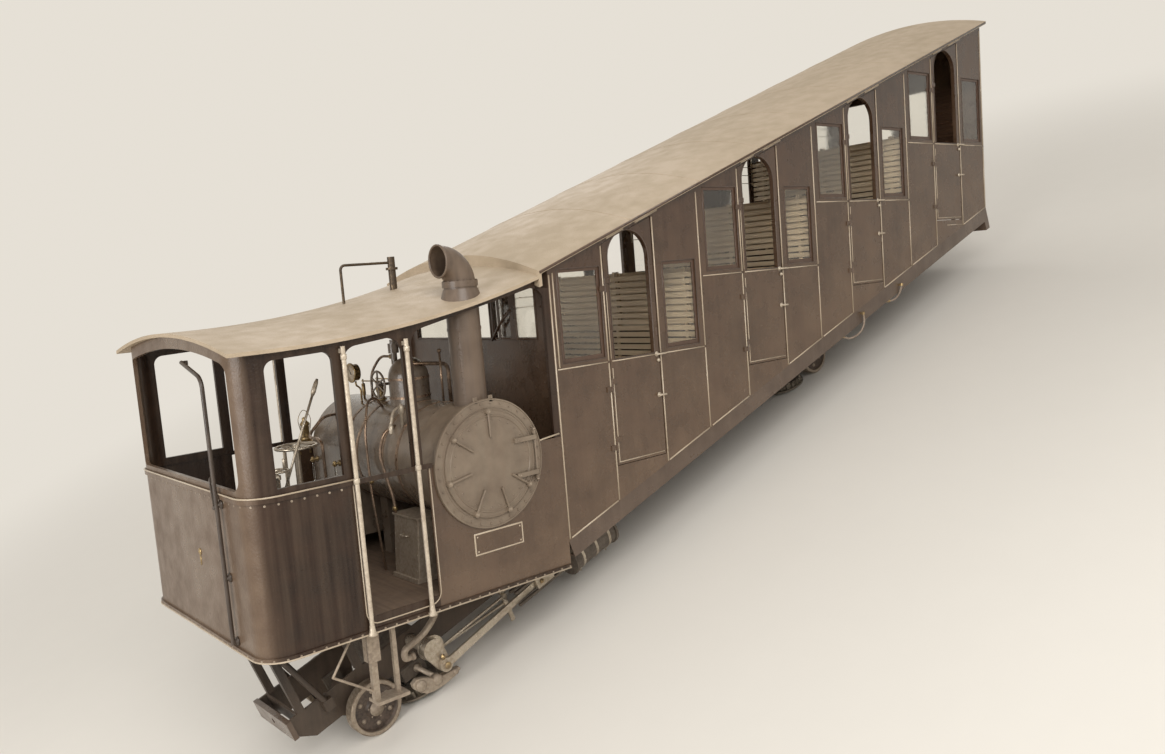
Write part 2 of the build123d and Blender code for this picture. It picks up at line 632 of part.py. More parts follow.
def on_crank(turn, reach):
    """Chassis X and Z at a turn and a distance from the crankshaft's axis."""
    return CRANK_X + reach * cos(radians(turn)), SHAFT_Z + reach * sin(radians(turn))


def valve_gear(side):
    """Eccentric straps, their rods, the link on its shaft and the valve spindle, as one standing piece."""
    link_x = CRANK_X + LINK_SETBACK
    plate_face = side * (PLATE_INNER + PLATE_THICKNESS + SEAT)
    gear = block(link_x - LINK_HALF, link_x + LINK_HALF, side * LINK_INNER, side * LINK_OUTER, LINK_BOTTOM, LINK_TOP)
    gear = gear + rod_y(link_x, plate_face, side * LINK_INNER, LINK_SHAFT_Z, LINK_SHAFT_RADIUS)
    for eccentric, rod_end_z in ((FORWARD_ECCENTRIC, FORWARD_ROD_END), (BACKWARD_ECCENTRIC, BACKWARD_ROD_END)):
        turn, across = eccentric
        x, z = on_crank(turn, ECCENTRIC_THROW)
        rod_x_start, rod_z_start = on_crank(turn, ECCENTRIC_THROW + ECCENTRIC_RADIUS + ECCENTRIC_STRAP / 2)
        y = side * across
        y0, y1 = y - ECCENTRIC_WIDTH / 2, y + ECCENTRIC_WIDTH / 2
        strap = rod_y(x, y0, y1, z, ECCENTRIC_RADIUS + ECCENTRIC_STRAP)
        strap = strap + bar((rod_x_start, y, rod_z_start), (link_x, y, rod_end_z), VALVE_ROD_RADIUS)
        strap = strap - rod_y(x, y0 - 1, y1 + 1, z, ECCENTRIC_RADIUS + RUNNING_CLEARANCE)
        gear = gear + strap
        gear = gear + rod_y(link_x, y0 + 4, y1 - 4, rod_end_z, 2 * VALVE_ROD_RADIUS)
    spindle_y = side * SPINDLE_Y
    spindle_end = CYLINDER_FRONT - SPINDLE_GLAND_LENGTH
    spindle_start = spindle_end - SPINDLE_LENGTH
    gear = gear + rod_x(spindle_start, spindle_end, spindle_y, SPINDLE_Z, VALVE_ROD_RADIUS)
    gear = gear + Pos(spindle_start, spindle_y, SPINDLE_Z) * Sphere(VALVE_ROD_RADIUS * 1.5)
    return gear + bar((link_x, side * LINK_OUTER, LINK_SHAFT_Z), (spindle_start, spindle_y, SPINDLE_Z), VALVE_ROD_RADIUS)


def build_engine():
    """Two outside cylinders, crossheads, rods, valve gear and the cranked shaft."""
    crank = rod_y(CRANK_X, -CYLINDER_Y + 40, CYLINDER_Y - 40, SHAFT_Z, CRANKSHAFT_RADIUS)
    rods = []
    cylinders = []
    cheek = ROD_THICKNESS / 2 + 2
    for side, turn in ((-1, NEAR_CRANK_TURN), (1, FAR_CRANK_TURN)):
        y = side * CYLINDER_Y
        pin_x, pin_z = on_crank(turn, CRANK_THROW)
        end_x = pin_x + sqrt(ROD_LENGTH ** 2 - (pin_z - ENGINE_Z) ** 2)
        low_y = y - cheek - CRANK_THICKNESS if side > 0 else y + cheek
        crank = crank + crank_web(pin_x, pin_z, low_y)
        crank = crank + rod_y(pin_x, y - side * cheek, y + side * (ROD_THICKNESS / 2 + 12), pin_z, CRANK_PIN_RADIUS)
        for eccentric_turn, across in (FORWARD_ECCENTRIC, BACKWARD_ECCENTRIC):
            x, z = on_crank(eccentric_turn, ECCENTRIC_THROW)
            half = ECCENTRIC_WIDTH / 2
            crank = crank + rod_y(x, side * (across - half), side * (across + half), z, ECCENTRIC_RADIUS)
        rods += [connecting_rod(pin_x, pin_z, end_x, y), crosshead(end_x, y), valve_gear(side)]
        cylinders.append(cylinder(side))
    keep("engine_crankshaft", crank)
    keep("engine_rods", rods)
    keep("cylinders", cylinders)


def cab_ring(half, front, radius, z0, z1):
    """Solid plan of the cab with rounded front corners, open to the rear."""
    plan = RectangleRounded(2 * front + 4000, 2 * half, radius)
    prism = Pos(2000, 0, z0) * extrude(plan, z1 - z0)
    return prism & block(-front - 1, 0, -half - 1, half + 1, z0, z1)


def cab_shell(thickness, z0, z1, proud=0.0):
    """Rounded U-shaped wall of the cab."""
    outer = cab_ring(HALF_WIDTH + proud, CAB_LENGTH + proud, CAB_CORNER_RADIUS + proud, z0, z1)
    half = HALF_WIDTH - thickness + proud
    inner = cab_ring(half, CAB_LENGTH - thickness + proud, CAB_CORNER_RADIUS - thickness + proud, z0 - 1, z1 + 1)
    inner = inner + block(-1000, 10, -half, half, z0 - 1, z1 + 1)
    return outer - inner


def cab_roof_sheet(low, high, x_end):
    """Arched region over the cab, level at the front and then rising on a wide sweep.

    low and high are its lower and upper faces, measured from the roof's underside at the eaves.
    """
    face = arch_face(HALF_ROOF, CAB_ROOF_RISE, high - low, CAB_EAVES + low)
    start = section_plane(-CAB_ROOF_FLAT_END)
    flat = extrude(start * face, -(CAB_LENGTH + CAB_ROOF_FRONT_OVERHANG - CAB_ROOF_FLAT_END))
    turn_axis = Axis((-CAB_ROOF_FLAT_END, 0, CAB_EAVES + CAB_ROOF_SWEEP), (0, -1, 0))
    swept = revolve(start * face, turn_axis, 18)
    roof = flat + swept
    return roof & block(-4000, x_end, -2000, 2000, 0, 6000)


def build_cab():
    """Sheets, frames, floor, roof and rails of the driver's cab."""
    floor = cab_ring(HALF_WIDTH - CAB_SHEET - SEAT, CAB_LENGTH - CAB_SHEET - SEAT, CAB_CORNER_RADIUS - CAB_SHEET,
                     CAB_FLOOR_TOP - CAB_FLOOR_THICKNESS, CAB_FLOOR_TOP)
    keep("cab_floor", lean(floor & block(-4000, -SEAT, -2000, 2000, -1000, 1000)))

    wall = cab_shell(CAB_SHEET, CAB_BOTTOM, BELT_RISE)
    door_cut = block(-CAB_DOOR_NEAR_EDGE, -CAB_DOOR_FAR_EDGE, -2000, 2000, CAB_FLOOR_TOP, BELT_RISE + 10)
    wall = wall - door_cut
    split_x = -CAB_LENGTH + CAB_CORNER_RADIUS + 60
    front = wall & block(-4000, split_x, -2000, 2000, -1000, 3000)
    keep("cab_front_sheet", lean(front))
    sides = wall & block(split_x + SEAT, -CAB_DOOR_FAR_EDGE, -2000, 2000, -1000, 3000)
    near = sides & block(-4000, 0, -2000, 0, -1000, 3000)
    keep("cab_side_sheets", [lean(sheet) for sheet in both_sides(near)])
    plate = wall & block(-CAB_DOOR_FAR_EDGE + SEAT, -SEAT, -2000, 0, -1000, 3000)
    keep("boiler_sheet_far", lean(mirror(plate, about=Plane.XZ)))
    plate = plate - rod_y(BOILER_X, -2000, 0, BOILER_Z, SMOKEBOX_RADIUS + SEAT)
    keep("boiler_sheet_near", lean(plate))

    belt = cab_shell(BELT_RAIL_THICKNESS, BELT_RISE - BELT_RAIL_HEIGHT / 2, BELT_RISE + BELT_RAIL_HEIGHT / 2,
                     BELT_RAIL_THICKNESS + SEAT)
    belt = belt & block(-4000, BOILER_X - SMOKEBOX_RADIUS - 40, -2000, 2000, -1000, 3000)
    foot_rail = cab_shell(BELT_RAIL_THICKNESS, CAB_BOTTOM, CAB_BOTTOM + BELT_RAIL_HEIGHT, BELT_RAIL_THICKNESS + SEAT)
    foot_rail = foot_rail & block(-4000, -SEAT, -2000, 2000, -1000, 3000)
    keep("cab_rails", lean(belt), lean(foot_rail))

    frame = cab_shell(FRAME_THICKNESS, BELT_RISE + SEAT, 2600) - cab_roof_sheet(-SEAT, 1200, 100)
    band_bottom = ROOF_TOP_EDGE - (ROOF_FRONT_OVERHANG + SEAT) * tan(LEAN) - ROOF_BAND_DEPTH / cos(LEAN)
    frame = frame - block(-ROOF_FRONT_OVERHANG - SEAT, 100, -2000, 2000, band_bottom - EAVES_DROP - 10, 3000)
    frame = frame & block(-4000, -SEAT, -2000, 2000, -1000, 4000)
    arch_top = CAB_EAVES - TOP_RAIL
    half = HALF_WIDTH - FRONT_PILLAR
    top = ThreePointArc((-half, arch_top), (0, arch_top + CAB_ROOF_RISE * 0.75), (half, arch_top))
    low = Polyline((half, arch_top), (half, BELT_RISE + 60), (-half, BELT_RISE + 60), (-half, arch_top))
    face = make_face([top, low])
    face = fillet(face.vertices(), 80)
    frame = frame - extrude(section_plane(-CAB_LENGTH - 50) * face, 200)
    for downhill, uphill, radius in CAB_SIDE_OPENINGS:
        bottom = BELT_RISE + (60 if uphill > 1500 else -40)
        top_line = []
        for x in (-downhill, -uphill):
            rise = max(0.0, x + CAB_ROOF_FLAT_END) ** 2 / (2 * CAB_ROOF_SWEEP)
            top_line.append((x, CAB_EAVES - TOP_RAIL + rise))
        outline = Polyline((-downhill, bottom), *top_line, (-uphill, bottom), close=True)
        hole = make_face(outline)
        corners = [v for v in hole.vertices() if v.Y > bottom + 200]
        hole = fillet(corners, radius)
        for y_face in (-HALF_WIDTH + 60, HALF_WIDTH + 20):
            plane = Plane((0, y_face, 0), x_dir=(1, 0, 0), z_dir=(0, -1, 0))
            frame = frame - extrude(plane * hole, 80)
    keep("cab_frame", lean(frame))

    roof = cab_roof_sheet(0, CAB_ROOF_THICKNESS, -ROOF_FRONT_OVERHANG - SEAT)
    roof = roof - rod_z(BOILER_X, CHIMNEY_Y, 1500, 2600, CHIMNEY_RADIUS + 12)
    keep("cab_roof", lean(roof))

    posts = []
    rail_face = HALF_WIDTH + BELT_RAIL_THICKNESS + 2 * SEAT
    lugs = (
        (CAB_BOTTOM + BELT_RAIL_HEIGHT / 2, rail_face),
        (BELT_RISE, rail_face),
        (POST_TOP - 2 * POST_LUG, HALF_WIDTH + SEAT),
    )
    for x in POST_PLACES:
        post = rod_z(x, -HALF_WIDTH - POST_STAND, CAB_BOTTOM, POST_TOP, POST_RADIUS)
        for z, face in lugs:
            post = post + block(x - POST_LUG, x + POST_LUG, -HALF_WIDTH - POST_STAND, -face, z - POST_LUG, z + POST_LUG)
        posts += both_sides(post)
    keep("door_posts", [lean(post) for post in posts])

    rail_x = -CAB_LENGTH - HANDRAIL_STAND
    rail_path = FilletPolyline(
        (rail_x, HANDRAIL_Y, CAB_BOTTOM + HANDRAIL_FOOT), (rail_x, HANDRAIL_Y, HANDRAIL_TOP - 100),
        (rail_x, HANDRAIL_Y + 340, HANDRAIL_TOP), radius=90)
    rail = sweep(Plane(rail_path @ 0, z_dir=rail_path % 0) * Circle(HANDRAIL_RADIUS), path=rail_path)
    rail_lugs = (
        (HANDRAIL_Y, CAB_BOTTOM + HANDRAIL_FOOT + POST_LUG, CAB_LENGTH + SEAT),
        (HANDRAIL_Y, BELT_RISE, CAB_LENGTH + BELT_RAIL_THICKNESS + 2 * SEAT),
        (HANDRAIL_Y + 340 - POST_LUG, HANDRAIL_TOP - 5, CAB_LENGTH + SEAT),
    )
    for y, z, face in rail_lugs:
        rail = rail + block(rail_x, -face, y - POST_LUG, y + POST_LUG, z - POST_LUG, z + POST_LUG)
    keep("front_handrail", lean(rail))


def smokebox_clamp(turn, seat_y):
    """Clamp head near the rim of the smokebox door, with its lever towards the door's middle."""
    head_reach = DOOR_DISC_RADIUS - CLAMP_INSET
    lever_reach = head_reach - CLAMP_LEVER_LENGTH
    head_x, head_z = BOILER_X + head_reach * cos(turn), BOILER_Z + head_reach * sin(turn)
    lever_x, lever_z = BOILER_X + lever_reach * cos(turn), BOILER_Z + lever_reach * sin(turn)
    lever_y = seat_y - CLAMP_LEVER_STAND
    head = rod_y(head_x, seat_y - CLAMP_HEAD_REACH, seat_y - DOOR_DISC_THICKNESS / 2, head_z, CLAMP_HEAD_RADIUS)
    lever = bar((head_x, lever_y, head_z), (lever_x, lever_y - CLAMP_LEVER_SPLAY, lever_z), CLAMP_LEVER_RADIUS)
    return head + lever


def build_boiler():
    """Boiler across the cab, smokebox, its door, chimney and elbow."""
    front_y = -HALF_WIDTH
    back_y = front_y + SMOKEBOX_LENGTH
    box = rod_y(BOILER_X, front_y, back_y, BOILER_Z, SMOKEBOX_RADIUS)
    box = box + rod_y(BOILER_X, front_y - FLANGE_THICKNESS, front_y - SEAT, BOILER_Z, FLANGE_RADIUS)
    box = box + rod_y(BOILER_X, front_y - SEAT, front_y, BOILER_Z, SMOKEBOX_RADIUS)
    box = box - rod_y(BOILER_X, front_y + SMOKEBOX_WALL, back_y - SMOKEBOX_WALL, BOILER_Z, SMOKEBOX_RADIUS - SMOKEBOX_WALL)
    box = box - rod_y(BOILER_X, front_y - 100, front_y + 50, BOILER_Z, SMOKEBOX_MOUTH)
    box = box - rod_z(BOILER_X, CHIMNEY_Y, BOILER_Z, BOILER_Z + 700, CHIMNEY_RADIUS - CHIMNEY_WALL)
    hinge_x = BOILER_X + SMOKEBOX_HINGE_OFFSET
    hinge_y = front_y - FLANGE_THICKNESS - SMOKEBOX_HINGE_STAND
    pin_reach = SMOKEBOX_LUG_RISE + SMOKEBOX_LUG_HALF
    pin = rod_z(hinge_x, hinge_y, BOILER_Z - pin_reach, BOILER_Z + pin_reach, SMOKEBOX_PIN_RADIUS)
    for z in (BOILER_Z - SMOKEBOX_LUG_RISE, BOILER_Z + SMOKEBOX_LUG_RISE):
        lug = block(hinge_x - 14, hinge_x + 14, hinge_y, front_y - FLANGE_THICKNESS,
                    z - SMOKEBOX_LUG_HALF, z + SMOKEBOX_LUG_HALF)
        pin = pin + lug
    box = box + pin
    keep("smokebox", lean(box))

    dome_r = (DOOR_DISC_RADIUS ** 2 + DOOR_DISC_DOME ** 2) / (2 * DOOR_DISC_DOME)
    seat_y = front_y - FLANGE_THICKNESS - SEAT
    disc = rod_y(BOILER_X, seat_y - DOOR_DISC_THICKNESS, seat_y, BOILER_Z, DOOR_DISC_RADIUS)
    ball = Pos(BOILER_X, seat_y - DOOR_DISC_THICKNESS - DOOR_DISC_DOME + dome_r, BOILER_Z) * Sphere(dome_r)
    cap = ball & rod_y(BOILER_X, seat_y - DOOR_DISC_THICKNESS - DOOR_DISC_DOME - 1, seat_y - DOOR_DISC_THICKNESS,
                       BOILER_Z, DOOR_DISC_RADIUS)
    door = disc + cap
    strap_x = BOILER_X + SMOKEBOX_STRAP_START
    for z in (BOILER_Z - SMOKEBOX_STRAP_RISE, BOILER_Z + SMOKEBOX_STRAP_RISE):
        low, high = z - SMOKEBOX_STRAP_HALF, z + SMOKEBOX_STRAP_HALF
        strap = block(strap_x, hinge_x, hinge_y - 20, hinge_y - 6, low, high)
        strap_foot = block(strap_x, strap_x + SMOKEBOX_STRAP_FOOT, hinge_y - 20, seat_y - DOOR_DISC_THICKNESS / 2, low, high)
        eye = rod_z(hinge_x, hinge_y, low, high, SMOKEBOX_EYE_RADIUS)
        door = door + strap + strap_foot + eye
        door = door - rod_z(hinge_x, hinge_y, low - 20, high + 20, SMOKEBOX_PIN_RADIUS + RUNNING_CLEARANCE)
    for turn in CLAMP_TURNS:
        door = door + smokebox_clamp(radians(turn), seat_y)
    keep("smokebox_door", lean(door))

    barrel = rod_y(BOILER_X, back_y + SEAT, HALF_WIDTH - 130, BOILER_Z, BOILER_RADIUS)
    firebox = block(BOILER_X - BOILER_RADIUS, BOILER_X + BOILER_RADIUS, HALF_WIDTH - 130 - FIREBOX_LENGTH, HALF_WIDTH - 130,
                    FIREBOX_BOTTOM, BOILER_Z)
    boiler = barrel + firebox
    for y in (-450, 250):
        boiler = boiler + block(BOILER_X - 180, BOILER_X + 180, y - 60, y + 60, CAB_FLOOR_TOP + SEAT, BOILER_Z - 300)
    dome_z = BOILER_Z + BOILER_RADIUS + DOME_SPRINGING
    boiler = boiler + rod_z(BOILER_X, DOME_Y, BOILER_Z, dome_z, DOME_RADIUS)
    boiler = boiler + Pos(BOILER_X, DOME_Y, dome_z) * Sphere(DOME_RADIUS)
    boiler = boiler + rod_z(TURRET_X, TURRET_Y, BOILER_Z, TURRET_TOP, TURRET_RADIUS)
    boiler = boiler + rod_z(TURRET_X, TURRET_Y, TURRET_TOP - 110, TURRET_TOP - 30, TURRET_RADIUS * 1.7)
    boiler = boiler + rod_x(STEAM_WHEEL_X - 10, TURRET_X, TURRET_Y, STEAM_WHEEL_Z, STEAM_WHEEL_RIM + 3)
    wheel = Torus(STEAM_WHEEL_RADIUS, STEAM_WHEEL_RIM)
    for turn in (0, 60, 120):
        wheel = wheel + Rot(0, 0, turn) * Box(2 * STEAM_WHEEL_RADIUS, 12, 10)
    boiler = boiler + Pos(STEAM_WHEEL_X, TURRET_Y, STEAM_WHEEL_Z) * Rot(0, 90, 0) * wheel
    keep("boiler", lean(boiler))

    chimney = rod_z(BOILER_X, CHIMNEY_Y, BOILER_Z, CHIMNEY_TOP, CHIMNEY_RADIUS)
    chimney = chimney + rod_z(BOILER_X, CHIMNEY_Y, CHIMNEY_TOP - COLLAR_HEIGHT, CHIMNEY_TOP, COLLAR_RADIUS)
    chimney = chimney - rod_z(BOILER_X, CHIMNEY_Y, BOILER_Z - 10, CHIMNEY_TOP + 10, CHIMNEY_RADIUS - CHIMNEY_WALL)
    chimney = chimney - rod_y(BOILER_X, -2000, 0, BOILER_Z, SMOKEBOX_RADIUS + SEAT)
    roof_z = CAB_EAVES + (BOILER_X + CAB_ROOF_FLAT_END) ** 2 / (2 * CAB_ROOF_SWEEP)
    ring = Pos(BOILER_X, CHIMNEY_Y, roof_z + 60) * Cone(ROOF_PLATE_RADIUS, CHIMNEY_RADIUS + 6, 120)
    ring = ring - rod_z(BOILER_X, CHIMNEY_Y, roof_z - 100, roof_z + 300, CHIMNEY_RADIUS - 2)
    ring = ring - cab_roof_sheet(-900, CAB_ROOF_THICKNESS + SEAT, 100)
    keep("chimney", lean(chimney + ring))

    start = Plane((BOILER_X, CHIMNEY_Y, CHIMNEY_TOP + SEAT), z_dir=(0, 0, 1))
    annulus = Circle(ELBOW_RADIUS) - Circle(ELBOW_RADIUS - CHIMNEY_WALL)
    bend_axis = Axis((BOILER_X - ELBOW_BEND, CHIMNEY_Y, CHIMNEY_TOP + SEAT), (0, -1, 0))
    elbow = revolve(start * annulus, bend_axis, 90)
    foot = rod_z(BOILER_X, CHIMNEY_Y, CHIMNEY_TOP + SEAT, CHIMNEY_TOP + SEAT + 18, COLLAR_RADIUS)
    foot = foot - rod_z(BOILER_X, CHIMNEY_Y, CHIMNEY_TOP, CHIMNEY_TOP + 30, ELBOW_RADIUS - 3)
    keep("chimney_elbow", lean(elbow + foot))


def wall_outline(x0, x1, bottom, top):
    """Slab outline in the body frame whose lower and upper edges follow the slope."""
    rise = tan(LEAN)
    return [(x0, bottom + x0 * rise), (x1, bottom + x1 * rise), (x1, top + x1 * rise), (x0, top + x0 * rise)]


def side_wall():
    """Near side wall with its door and window openings, and its panes."""
    wall_top = EAVES_RISE - CANT_RAIL_DEPTH
    wall = plate_xz(wall_outline(0, BODY_LENGTH, SEAT, wall_top), -HALF_WIDTH, -HALF_WIDTH + WALL_THICKNESS)
    panes = []
    for index in range(COMPARTMENTS):
        x0 = index * COMPARTMENT_PITCH
        z0 = index * STEP
        opening = block(x0 + DOOR_START, x0 + DOOR_START + DOOR_WIDTH, -HALF_WIDTH - 10, -HALF_WIDTH + WALL_THICKNESS + 10,
                        z0 + FLOOR_RISE, z0 + 6000)
        wall = wall - opening
        for start, width in PANES:
            bottom = z0 + WAIST_RISE + WINDOW_BOTTOM
            hole = block(x0 + start, x0 + start + width, -HALF_WIDTH - 10, -HALF_WIDTH + WALL_THICKNESS + 10,
                         bottom, bottom + WINDOW_HEIGHT)
            wall = wall - hole
            panes.append(block(x0 + start, x0 + start + width, -HALF_WIDTH + 17, -HALF_WIDTH + 17 + GLASS_THICKNESS,
                               bottom, bottom + WINDOW_HEIGHT))
        hinge_x, hinge_y = hinge_line(index)
        for z in hinge_heights(index):
            low = z - HINGE_PLAY - KNUCKLE_LENGTH
            wall = wall + rod_z(hinge_x, hinge_y, low, z - HINGE_PLAY, KNUCKLE_RADIUS)
            wall = wall + rod_z(hinge_x, hinge_y, low, z + KNUCKLE_LENGTH, HINGE_PIN_RADIUS)
            wall = wall + block(hinge_x - HINGE_STRAP, hinge_x, hinge_y, -HALF_WIDTH, low + 8, z - HINGE_PLAY - 8)
    return wall, panes


def door_leaf(index):
    """Near side door leaf of one compartment, with its arched opening and knuckles."""
    x0 = index * COMPARTMENT_PITCH + DOOR_START + HINGE_GAP
    x1 = index * COMPARTMENT_PITCH + DOOR_START + DOOR_WIDTH - LATCH_GAP
    z0 = index * STEP
    bottom = z0 + FLOOR_RISE + DOOR_SILL_GAP
    rise = tan(LEAN)
    top = EAVES_RISE - CANT_RAIL_DEPTH - DOOR_SILL_GAP
    outline = [(x0, bottom), (x1, bottom), (x1, top + x1 * rise), (x0, top + x0 * rise)]
    leaf = plate_xz(outline, -HALF_WIDTH, -HALF_WIDTH + WALL_THICKNESS)
    radius = (x1 - x0) / 2 - DOOR_STILE
    middle = (x0 + x1) / 2
    low = z0 + WAIST_RISE + 24
    spring = z0 + WAIST_RISE + DOOR_SPRINGING
    hole = block(middle - radius, middle + radius, -HALF_WIDTH - 10, -HALF_WIDTH + WALL_THICKNESS + 10, low, spring)
    hole = hole + rod_y(middle, -HALF_WIDTH - 10, -HALF_WIDTH + WALL_THICKNESS + 10, spring, radius)
    leaf = leaf - hole
    hinge_x, hinge_y = hinge_line(index)
    for z in hinge_heights(index):
        knuckle = rod_z(hinge_x, hinge_y, z, z + KNUCKLE_LENGTH, KNUCKLE_RADIUS)
        strap = block(hinge_x, hinge_x + HINGE_STRAP, hinge_y, -HALF_WIDTH, z + 8, z + KNUCKLE_LENGTH - 8)
        leaf = leaf + knuckle + strap
        leaf = leaf - rod_z(hinge_x, hinge_y, z - 1, z + KNUCKLE_LENGTH + 1, HINGE_PIN_RADIUS + RUNNING_CLEARANCE)
    return leaf


def hinge_heights(index):
    """Body-frame heights of the undersides of one door's three knuckles."""
    base = index * STEP
    return (base + FLOOR_RISE + 190, base + WAIST_RISE - 190, base + WAIST_RISE + 640)


def hinge_line(index):
    """Body-frame x and y of a near side door hinge."""
    return index * COMPARTMENT_PITCH + DOOR_START + HINGE_GAP / 2, -HALF_WIDTH - KNUCKLE_RADIUS - 1


def bench(x, z, facing, back_top):
    """Slatted bench: seat, back and three frames. facing is +1 uphill, -1 downhill."""
    half = HALF_WIDTH - WALL_THICKNESS - BENCH_SIDE_GAP
    slats = []
    pitch = SLAT_WIDTH + SLAT_GAP
    count = int(BENCH_DEPTH // pitch)
    for n in range(count):
        a = x + facing * (40 + n * pitch)
        b = a + facing * SLAT_WIDTH
        slats.append(block(a, b, -half, half, z + BENCH_HEIGHT - SLAT_THICKNESS, z + BENCH_HEIGHT))
    back_count = int((back_top - BENCH_HEIGHT) // pitch)
    for n in range(back_count):
        low = z + BENCH_HEIGHT + 60 + n * pitch
        slats.append(block(x + facing * 16, x + facing * (16 + SLAT_THICKNESS), -half, half, low, low + SLAT_WIDTH))
    result = None
    for y in (-half + 120, 0, half - 120 - BENCH_FRAME_WIDTH):
        seat = block(x + facing * 2, x + facing * BENCH_DEPTH, y, y + BENCH_FRAME_WIDTH,
                     z + BENCH_HEIGHT - 60, z + BENCH_HEIGHT - SLAT_THICKNESS)
        leg = block(x + facing * (BENCH_DEPTH - 50), x + facing * (BENCH_DEPTH - 10), y, y + BENCH_FRAME_WIDTH,
                    z + SEAT, z + BENCH_HEIGHT - 60)
        post = block(x + facing * SEAT, x + facing * 16, y, y + BENCH_FRAME_WIDTH, z + SEAT, z + back_top + 40)
        piece = seat + leg + post
        result = piece if result is None else result + piece
    for slat in slats:
        result = result + slat
    return result


def build_passenger_body():
    """Side walls, doors, roof, floors, partitions, bulkhead and benches."""
    wall, panes = side_wall()
    keep("side_wall_near", lean(wall))
    keep("side_wall_far", lean(mirror(wall, about=Plane.XZ)))
    glass = [twin for pane in panes for twin in both_sides(pane)]
    rail_outline = wall_outline(0, BODY_LENGTH, EAVES_RISE - CANT_RAIL_DEPTH, EAVES_RISE - SEAT)
    rail = plate_xz(rail_outline, -HALF_WIDTH, -HALF_WIDTH + WALL_THICKNESS)
    keep("cant_rails", [lean(rail), lean(mirror(rail, about=Plane.XZ))])
    for index in range(COMPARTMENTS):
        leaf = door_leaf(index)
        keep(f"door_near_{index + 1}", lean(leaf))
        keep(f"door_far_{index + 1}", lean(mirror(leaf, about=Plane.XZ)))

    edge = EAVES_Z - EAVES_DROP
    face = arch_face(HALF_ROOF, ROOF_RISE, ROOF_THICKNESS, edge)
    sheet = extrude(section_plane(FOOT_X - 1500) * face, 13500)
    ends = lean(block(-ROOF_FRONT_OVERHANG, ROOF_REAR_X, -3000, 3000, -2000, 12000))
    sheet = sheet & ends
    band_face = arch_face(HALF_ROOF, ROOF_RISE, ROOF_BAND_DEPTH, edge + ROOF_THICKNESS - ROOF_BAND_DEPTH)
    band = extrude(section_plane(FOOT_X - 1500) * band_face, 13500)
    band = band & lean(block(-ROOF_FRONT_OVERHANG, -ROOF_FRONT_OVERHANG + ROOF_BAND_THICKNESS, -3000, 3000, -2000, 12000))
    keep("passenger_roof", sheet + band)

    inner = HALF_WIDTH - WALL_THICKNESS - SEAT
    low_inner = HALF_WIDTH - SILL_THICKNESS - SEAT
    arch_cut = extrude(section_plane(FOOT_X - 1500) * arch_top_face(edge - SEAT), 13500)
    bulkhead = block(0, WALL_THICKNESS, -inner, inner, 20, 3200)
    bulkhead = bulkhead + block(0, WALL_THICKNESS, -low_inner, low_inner, CAB_FLOOR_TOP, 20)
    for y0, y1 in BULKHEAD_WINDOWS:
        pane = block(0, WALL_THICKNESS, y0, y1, BULKHEAD_WINDOW_BOTTOM, BULKHEAD_WINDOW_TOP)
        bulkhead = bulkhead - pane
        glass.append(pane & block(17, 17 + GLASS_THICKNESS, -2000, 2000, 0, 5000))
    keep("front_bulkhead", lean(bulkhead) - arch_cut)
    rear_waist = (COMPARTMENTS - 1) * STEP + WAIST_RISE
    inside = BODY_LENGTH - WALL_THICKNESS
    wall = block(inside, BODY_LENGTH, -inner, inner, BODY_LENGTH * tan(LEAN) + SEAT, 7000)
    for y0, y1 in REAR_WINDOWS:
        pane = block(inside, BODY_LENGTH, y0, y1, rear_waist + WINDOW_BOTTOM, rear_waist + WINDOW_BOTTOM + WINDOW_HEIGHT)
        wall = wall - pane
        glass.append(pane & block(inside + 17, inside + 17 + GLASS_THICKNESS, -2000, 2000, 0, 9000))
    keep("rear_wall", lean(wall) - arch_cut)
    keep("window_glass", [lean(pane) for pane in glass])

    floors = []
    partitions = []
    for index in range(COMPARTMENTS):
        x0 = index * COMPARTMENT_PITCH
        z = index * STEP + FLOOR_RISE
        start = x0 + (WALL_THICKNESS if index == 0 else PARTITION_THICKNESS / 2) + SEAT
        end = x0 + COMPARTMENT_PITCH - (WALL_THICKNESS if index == COMPARTMENTS - 1 else PARTITION_THICKNESS / 2) - SEAT
        floors.append(lean(block(start, end, -low_inner, low_inner, z - FLOOR_THICKNESS, z)))
        if index > 0:
            low = z - STEP - FLOOR_THICKNESS
            board = block(x0 - PARTITION_THICKNESS / 2, x0 + PARTITION_THICKNESS / 2, -low_inner, low_inner,
                          low, z + BENCH_HEIGHT)
            partitions.append(lean(board))
    keep("compartment_floors", floors)
    keep("partitions", partitions)
    seats = []
    for index in range(COMPARTMENTS):
        x0 = index * COMPARTMENT_PITCH
        z = index * STEP + FLOOR_RISE
        low_end = x0 + (WALL_THICKNESS if index == 0 else PARTITION_THICKNESS / 2)
        high_end = x0 + COMPARTMENT_PITCH - (WALL_THICKNESS if index == COMPARTMENTS - 1 else PARTITION_THICKNESS / 2)
        tall = BENCH_BACK_TOP + (STEP if index < COMPARTMENTS - 1 else 0)
        seats += [lean(bench(low_end, z, 1, BENCH_BACK_TOP)), lean(bench(high_end, z, -1, tall))]
    keep("benches", seats)


def arch_top_face(z):
    """Region above the underside of the passenger roof, drawn in Y and Z."""
    under = ThreePointArc((-HALF_ROOF, z), (0, z + ROOF_RISE), (HALF_ROOF, z))
    rest = Polyline((HALF_ROOF, z), (HALF_ROOF, z + 3000), (-HALF_ROOF, z + 3000), (-HALF_ROOF, z))
    return make_face([under, rest])


